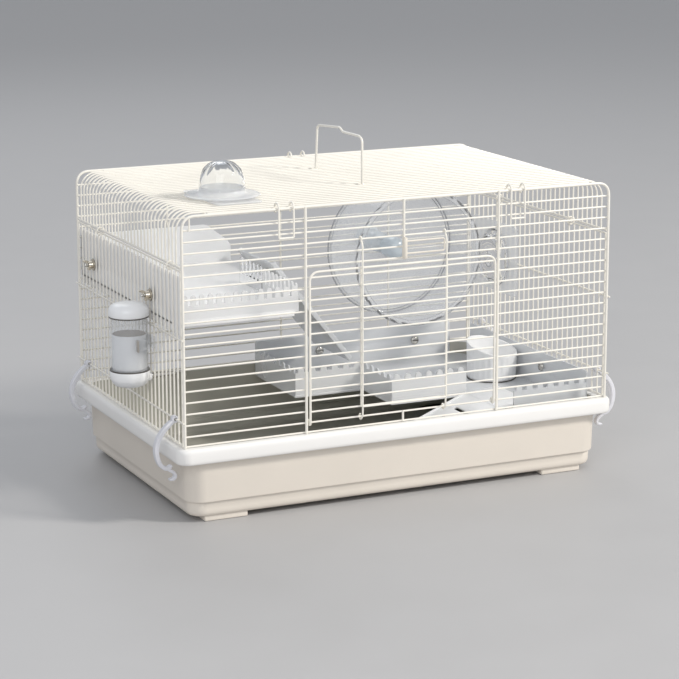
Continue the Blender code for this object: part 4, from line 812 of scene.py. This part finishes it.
for k in range(9):
    z = 0.0655 + 0.0026 * k
    if k < 2:
        add(bm, rbox((0.0455, -0.0322, z), (0.1290, -0.0318, z + 0.0008), 0), None, 1)
piece("lower_platform_moulding", bm, [FROST, MILK], "housing", ["lower_platform"], 40)

# ---------------------------------------------------------------- hideout front
lo, hi = local("hideout_front")
hx, hz = (lo.x + hi.x) / 2 + 0.0005, 0.0360
bm = plate([[(lo.x, lo.z), (hi.x, lo.z), (hi.x, hi.z), (lo.x, hi.z)], circle(hx, hz, 0.0145, 40)], 0.0020, "XZ", (lo.y + hi.y) / 2, 0.0003)
add(bm, lathe([(0.0145, -0.0016), (0.0160, -0.0016), (0.0164, -0.0009), (0.0160, 0.0006), (0.0145, 0.0006)], about(hx, (lo.y + hi.y) / 2, hz, "Y"), 40), None, 0)
piece("hideout_wall", bm, WHITE, "housing", ["hideout_front"], 45)

# ---------------------------------------------------------------- slotted ramp
lo, hi = local("slotted_ramp")
slope = math.atan2(0.0180, 0.0455)
zs = 0.0081
run = 0.1390
outline = rect(0.0, lo.y, run / math.cos(slope), hi.y)
slots = []
for k in range(7):
    u = (0.0230 + 0.0155 * k) / math.cos(slope)
    slots.append([(u + a * 1.0, -0.0700 + b) for a, b in rr(0.0022, 0.0180, 0.0018, 4)])
m = Matrix.Translation((-0.0090, 0, zs)) @ Matrix.Rotation(-slope, 4, "Y")
bm = bmesh.new()
add(bm, plate([outline] + slots, 0.0020, "XY", 0.0011, 0.0003), m, 0)
for y in (lo.y + 0.0010, hi.y - 0.0010):
    add(bm, rbox((0.002, y - 0.0009, 0.0002), (run / math.cos(slope) - 0.001, y + 0.0009, 0.0040), 0.0005, 2), m, 0)
xe, ze = -0.0090 + run, zs + run * math.tan(slope)
add(bm, rbox((xe - 0.0010, lo.y + 0.0002, ze + 0.0004), (hi.x - 0.0002, hi.y - 0.0002, ze + 0.0024), 0.0005, 2), Matrix.Translation((xe, 0, ze)) @ Matrix.Rotation(-math.atan2(0.0035, 0.036), 4, "Y") @ Matrix.Translation((-xe, 0, -ze)), 0)
piece("slotted_ramp_moulding", bm, WHITE, "housing", ["slotted_ramp"], 40)

# ---------------------------------------------------------------- hide cup
lo, hi = local("hide_cup")
cx, cy = (lo.x + hi.x) / 2, (lo.y + hi.y) / 2
cx = 0.1880 if abs(cx - 0.1880) < 0.004 else cx
cy = 0.0200 if abs(cy - 0.0200) < 0.004 else cy
cz = lo.z
slant_axis = Vector((0.85, 0.53, 0)).normalized()
uphill = Vector((0, 0, 1)).cross(slant_axis).normalized()
tan_s = math.tan(math.radians(15))


def rim_z(x, y):
    return 0.0340 + tan_s * (Vector((x, y, 0)).dot(uphill))


bm = bmesh.new()
n = 96
layers = []


def cup_ring(r, f, flute=0.0):
    ring = []
    for k in range(n):
        t = 2 * math.pi * k / n
        wob = r * (1 + flute * math.cos(24 * t))
        x, y = wob * math.cos(t), wob * math.sin(t)
        ring.append(bm.verts.new((cx + x, cy + y, cz + (f if f <= 1.0 and f >= 0 and False else 0) + f)))
    return ring


def cup_layer(r, share, flute=0.0):
    ring = []
    for k in range(n):
        t = 2 * math.pi * k / n
        wob = r * (1 + flute * math.cos(24 * t))
        x, y = wob * math.cos(t), wob * math.sin(t)
        ring.append(bm.verts.new((cx + x, cy + y, cz + rim_z(x, y) * share)))
    return ring


layers = [
    cup_ring(0.0225, 0.0), cup_ring(0.0248, 0.0002), cup_ring(0.0254, 0.0010, 0.008), cup_ring(0.0255, 0.0030, 0.018),
    cup_layer(0.0258, 0.35, 0.020), cup_layer(0.0262, 0.70, 0.018), cup_layer(0.0265, 0.88, 0.010), cup_layer(0.0268, 0.94, 0.0),
    cup_layer(0.0269, 0.985, 0.0), cup_layer(0.0266, 1.0, 0.0), cup_layer(0.0258, 1.0, 0.0), cup_layer(0.0254, 0.985, 0.0),
    cup_layer(0.0251, 0.90, 0.0), cup_layer(0.0245, 0.40, 0.0), cup_ring(0.0240, 0.0050), cup_ring(0.0236, 0.0028), cup_ring(0.0222, 0.0018),
]
for a, b in zip(layers, layers[1:]):
    for k in range(n):
        bm.faces.new((a[k], a[(k + 1) % n], b[(k + 1) % n], b[k]))
bm.faces.new(list(reversed(layers[0])))
bm.faces.new(layers[-1])
add(bm, lathe([(0.0200, cz - 0.0001), (0.0262, cz - 0.0001), (0.0262, cz + 0.0007), (0.0200, cz + 0.0007)], about(cx, cy, 0), 64), None, 1)
piece("hide_cup_moulding", bm, [WHITE, DARK_RING_AND_SLOT_SHADE], "housing", ["hide_cup"], 40)

# ---------------------------------------------------------------- running wheel
lo, hi = local("wheel_drum")
WX, WZ = (lo.x + hi.x) / 2, (lo.z + hi.z) / 2
R = (hi.x - lo.x) / 2
F, B = lo.y, hi.y
prof = [(0.0046, B - 0.0020), (0.0150, B - 0.0022), (0.0165, B - 0.0034), (0.0180, B - 0.0022), (R - 0.0048, B - 0.0022), (R - 0.0020, B - 0.0040)]
track = []
for k in range(24):
    y = B - 0.0050 - (B - 0.0050 - F - 0.0030) * k / 23
    track.append((R - (0.0016 if k % 2 else 0.0021), y))
prof += track + [(R - 0.0030, F + 0.0018), (R - 0.0062, F + 0.0016), (R - 0.0070, F + 0.0008), (R - 0.0062, F + 0.0001), (R - 0.0016, F), (R - 0.0004, F + 0.0006), (R, F + 0.0020), (R, B - 0.0020), (R - 0.0008, B - 0.0004), (R - 0.0022, B), (0.0046, B)]
bm = lathe(prof, about(WX, 0, WZ, "Y"), 96)
piece("wheel_drum_shell", bm, FILM, "wheel", ["wheel_drum"], 60)
# painted dark reflections: dark strokes along the ribbed front edge and thin dark rings at the front and rear edges
bm = bmesh.new()
count = 40
for k in range(count):
    t0 = 2 * math.pi * (k + 0.18 * math.sin(2.3 * k)) / count
    deg = math.degrees(t0) % 360
    # painted reflection strength by angle, heaviest around 222 and 48 degrees round the rim
    weight = max(0.0, math.cos(math.radians(deg - 222))) ** 1.5 + 0.8 * max(0.0, math.cos(math.radians(deg - 48))) ** 3 + 0.25
    t1 = t0 + 2 * math.pi / count * 0.92
    pts = []
    for q in range(6):
        t = t0 + (t1 - t0) * q / 5
        rad = R - 0.0026 + 0.0016 * (q / 5)
        pts.append((WX + rad * math.cos(t), F + 0.0013 + 0.0008 * q / 5, WZ + rad * math.sin(t)))
    thick = 0.00034 + 0.00095 * min(1.0, weight)
    wire(bm, pts, lambda u: thick * (0.25 + 0.75 * math.sin(math.pi * min(1, max(0, u)))), 6, False, 0 if weight > 0.45 or k % 2 == 0 else 1)
for rad, y, th, mat_k in ((R - 0.0009, F + 0.0010, 0.00038, 1), (R - 0.0062, F + 0.0010, 0.00028, 1), (R - 0.0011, B - 0.0010, 0.00085, 1), (R - 0.0042, B - 0.0012, 0.00060, 1)):
    wire(bm, ring_path((WX, y, WZ), rad, "XZ", 72), th, 6, True, mat_k)
piece("wheel_rib_painted_reflections", bm, [RIB_DARK_REFLECTION, RIB_GREY_REFLECTION], "wheel", (), 60)

lo, hi = local("wheel_hub_cap")
hf, hb, hr = lo.y, hi.y, (hi.x - lo.x) / 2
bm = lathe(
    [(0.0, hf), (hr * 0.34, hf + 0.0003), (hr * 0.66, hf + 0.0016), (hr * 0.85, hf + 0.0042), (hr * 0.94, hf + 0.0085), (hr * 0.985, hb - 0.0012), (hr, hb), (hr * 0.87, hb), (hr * 0.80, hf + 0.0090), (hr * 0.70, hf + 0.0062), (hr * 0.46, hf + 0.0034), (0.0, hf + 0.0020)],
    about(WX, 0, WZ, "Y"), 56, False, lambda t, r, z: r * (1 + 0.012 * math.cos(12 * t)) if z > hf + 0.004 else r,
)
piece("wheel_hub_cup", bm, HUB, "wheel", ["wheel_hub_cap"], 50)

lo, hi = local("wheel_bearing_housing")
b0, b1 = lo.y, hi.y
ro = (hi.x - lo.x) / 2
bm = lathe(
    [(0.0036, b0), (0.0080, b0), (0.0086, b0 + 0.0006), (0.0089, b0 + 0.0170), (0.0098, b0 + 0.0205), (0.0110, b0 + 0.0228), (0.0112, b0 + 0.0245), (0.0112, b0 + 0.0400), (0.0106, b0 + 0.0412), (0.0112, b0 + 0.0424), (0.0126, b1 - 0.0060), (ro * 0.985, b1 - 0.0046), (ro, b1 - 0.0036), (ro, b1 - 0.0006), (ro * 0.96, b1), (0.0036, b1)],
    about(WX, 0, WZ, "Y"), 48,
)
for k in range(4):
    t = math.pi / 4 + math.pi / 2 * k
    add(bm, rbox((0.0080, -0.0007, b0 + 0.0030), (0.0108, 0.0007, b0 + 0.0235), 0.0003, 1), about(WX, 0, WZ, "Y") @ Matrix.Rotation(t, 4, "Z"), 0)
piece("wheel_bearing_moulding", bm, HUB, "housing", ["wheel_bearing_housing"], 40)

lo, hi = local("wheel_axle")
bm = lathe([(0.0, lo.y), (0.0024, lo.y), (0.0030, lo.y + 0.0006), (0.0030, lo.y + 0.0065), (0.0053, lo.y + 0.0065), (0.0055, lo.y + 0.0068), (0.0055, lo.y + 0.0092), (0.0053, lo.y + 0.0095), (0.0030, lo.y + 0.0095), (0.0030, 0.1400)]
           + [(0.0030 if k % 2 else 0.0027, 0.1405 + (hi.y - 0.1412) * k / 26) for k in range(27)] + [(0.0024, hi.y), (0.0, hi.y)], about(WX, 0, WZ, "Y"), 32, False)
piece("wheel_axle_turned", bm, ZINC, "housing", ["wheel_axle"], 50)
lo, hi = local("wheel_clamp_nut")
n0, n1, nr = lo.y, hi.y, (hi.x - lo.x) / 2
bm = lathe([(0.0034, n0), (nr * 0.96, n0), (nr, n0 + 0.0006), (nr, n0 + 0.0014), (nr * 0.94, n0 + 0.0020), (nr * 0.60, n0 + 0.0024), (nr * 0.58, n1 - 0.0008), (nr * 0.54, n1), (0.0034, n1)], about(WX, 0, WZ, "Y"), 72, True,
           lambda t, r, z: r * (1 + 0.03 * math.cos(18 * t)) if nr * 0.5 < r < nr * 0.62 else r)
piece("wheel_clamp_knob", bm, CLIP, "housing", ["wheel_clamp_nut"], 45)

# ---------------------------------------------------------------- drinking bottle
lo, hi = local("bottle_body")
QX, QY = (lo.x + hi.x) / 2, (lo.y + hi.y) / 2
bq = lo.z
bt = hi.z
shell = [(0.0172, bq), (0.0183, bq), (0.0187, bq + 0.0012), (0.0187, 0.1560), (0.0186, bt - 0.0078), (0.0183, bt - 0.0038), (0.0176, bt - 0.0022), (0.0180, bt - 0.0012), (0.0178, bt), (0.0160, bt), (0.0162, bt - 0.0022), (0.0170, bt - 0.0058), (0.0172, 0.1560)]
bm = lathe(shell, about(QX, QY, 0), 64)
piece("bottle_shell", bm, FILM, "bottle", ["bottle_body"], 50)
lo, hi = local("bottle_inner_cup")
cup = [(0.0, lo.z), (0.0150, lo.z), (0.0162, lo.z + 0.0006), (0.0166, lo.z + 0.0020), (0.0166, hi.z - 0.0008), (0.0163, hi.z - 0.0001), (0.0159, hi.z), (0.0154, hi.z - 0.0006), (0.0153, lo.z + 0.0030), (0.0146, lo.z + 0.0018), (0.0, lo.z + 0.0016)]
bm = lathe(cup, about(QX, QY, 0), 64, False, None, [0, 0, 0, 0, 0, 0, 1, 1, 1, 1])
piece("bottle_cup", bm, [MILK, INNER], "bottle", ["bottle_inner_cup"], 50)
lo, hi = local("bottle_cap")
ch = hi.z - lo.z
cap = [(0.0, lo.z), (0.0186, lo.z), (0.0192, lo.z + 0.0006), (0.0195, lo.z + 0.0015), (0.0194, lo.z + ch * 0.36), (0.0189, lo.z + ch * 0.55), (0.0176, lo.z + ch * 0.72), (0.0152, lo.z + ch * 0.84), (0.0118, lo.z + ch * 0.92), (0.0070, lo.z + ch * 0.975), (0.0030, lo.z + ch * 0.995), (0.0, lo.z + ch)]
bm = lathe(cap, about(QX, QY, 0), 72, False)
add(bm, lathe([(0.0170, lo.z - 0.0008), (0.0189, lo.z - 0.0008), (0.0191, lo.z - 0.0002), (0.0189, lo.z + 0.0006), (0.0170, lo.z + 0.0006)], about(QX, QY, 0), 64), None, 1)
piece("bottle_top", bm, [WHITE, DARK_RING_AND_SLOT_SHADE], "bottle", ["bottle_cap"], 50)
lo, hi = local("bottle_base_cap")
base = [(0.0, lo.z), (0.0110, lo.z), (0.0140, lo.z + 0.0008), (0.0165, lo.z + 0.0030), (0.0184, lo.z + 0.0068), (0.0193, lo.z + 0.0105), (0.0194, hi.z - 0.0012), (0.0191, hi.z), (0.0, hi.z)]
bm = lathe(base, about(QX, QY, 0), 72, False, None, [0, 0, 0, 0, 1, 1, 1, 1])
add(bm, lathe([(0.0168, hi.z - 0.0004), (0.0189, hi.z - 0.0004), (0.0191, hi.z + 0.0003), (0.0189, hi.z + 0.0010), (0.0168, hi.z + 0.0010)], about(QX, QY, 0), 64), None, 2)
add(bm, lathe([(0.0, 0.0100), (0.0046, 0.0100), (0.0048, 0.0160), (0.0046, 0.0205), (0.0040, 0.0212), (0.0, 0.0212)], about(QX, QY, lo.z + 0.0073, "X"), 28, False), None, 1)
piece("bottle_base", bm, [MILK, WHITE, DARK_RING_AND_SLOT_SHADE], "bottle", ["bottle_base_cap"], 50)
lo, hi = local("bottle_spout")
sz = (lo.z + hi.z) / 2
bm = bmesh.new()
wire(bm, [(lo.x + (hi.x - 0.0008 - lo.x) * s / 12, QY, sz) for s in range(13)], lambda s: 0.0030 - 0.0006 * s, 20)
add(bm, lathe([(0.0, 0.0), (0.0012, 0.0003), (0.0017, 0.0010), (0.0018, 0.0018), (0.0, 0.0022)], about(hi.x - 0.0016, QY, sz, "X") @ Matrix.Identity(4), 20, False), None, 0)
piece("bottle_spout_tube", bm, ZINC, "bottle", ["bottle_spout"], 50)

lo, hi = local("bottle_holder")
bm = bmesh.new()
zc0, zc1 = 0.1583, 0.1687
rings = []
n = 30
for k in range(n + 1):
    t = math.radians(-92 + 184 * k / n)
    ring = []
    for a, b in rr(0.0008, (zc1 - zc0) / 2, 0.0006, 3):
        rad = 0.0202 + a
        ring.append(bm.verts.new((QX + rad * math.cos(t), QY + rad * math.sin(t), (zc0 + zc1) / 2 + b)))
    rings.append(ring)
for a, b in zip(rings, rings[1:]):
    mm = len(a)
    for k in range(mm):
        bm.faces.new((a[k], a[(k + 1) % mm], b[(k + 1) % mm], b[k]))
bm.faces.new(list(reversed(rings[0])))
bm.faces.new(rings[-1])
for sy in (-1, 1):
    y0, y1 = sorted((QY + sy * 0.0197, QY + sy * 0.0243))
    add(bm, rbox((QX - 0.0002, y0, 0.1578), (QX + 0.0012, y1, 0.1692), 0.0005, 2), None, 1)
add(bm, rbox((-0.2300, QY - 0.0130, 0.1576), (-0.2277, QY + 0.0130, 0.1694), 0.0007, 2), None, 0)
piece("bottle_holder_moulding", bm, [FILM, TAUPE], "housing", ["bottle_holder"], 45)

# ---------------------------------------------------------------- floor and light
bm = bmesh.new()
bmesh.ops.create_grid(bm, x_segments=8, y_segments=8, size=14.0)
mesh = bpy.data.meshes.new("floor")
bm.to_mesh(mesh)
bm.free()
floor = bpy.data.objects.new("floor", mesh)
scene.collection.objects.link(floor)
floor.location.z = -0.0002
mesh.materials.append(surface("pale_floor", (0.47, 0.465, 0.465), 0.55, vary=0.02, grain=60, bump=0.02))

world = bpy.data.worlds.new("studio")
scene.world = world
world.use_nodes = True
world.node_tree.nodes["Background"].inputs["Color"].default_value = (0.86, 0.89, 0.94, 1)
world.node_tree.nodes["Background"].inputs["Strength"].default_value = 0.58


def area(name, place, target, size, power, colour=(1, 1, 1)):
    light = bpy.data.lights.new(name, "AREA")
    light.shape = "DISK"
    light.size = size
    light.energy = power
    light.color = colour
    obj = bpy.data.objects.new(name, light)
    obj.location = place
    obj.rotation_euler = (Vector(target) - Vector(place)).to_track_quat("-Z", "Y").to_euler()
    scene.collection.objects.link(obj)
    return obj


area("key", (2.3, -2.1, 2.3), (0, 0, 0.12), 0.7, 100, (1.0, 0.965, 0.91))
area("fill", (-1.8, -2.4, 1.8), (0, 0, 0.15), 2.2, 28, (0.97, 0.98, 1.0))
area("back", (0.3, 2.6, 2.2), (0, 0, 0.2), 1.6, 14, (0.95, 0.97, 1.0))
scene.view_settings.view_transform = "Standard"

bpy.context.view_layer.update()
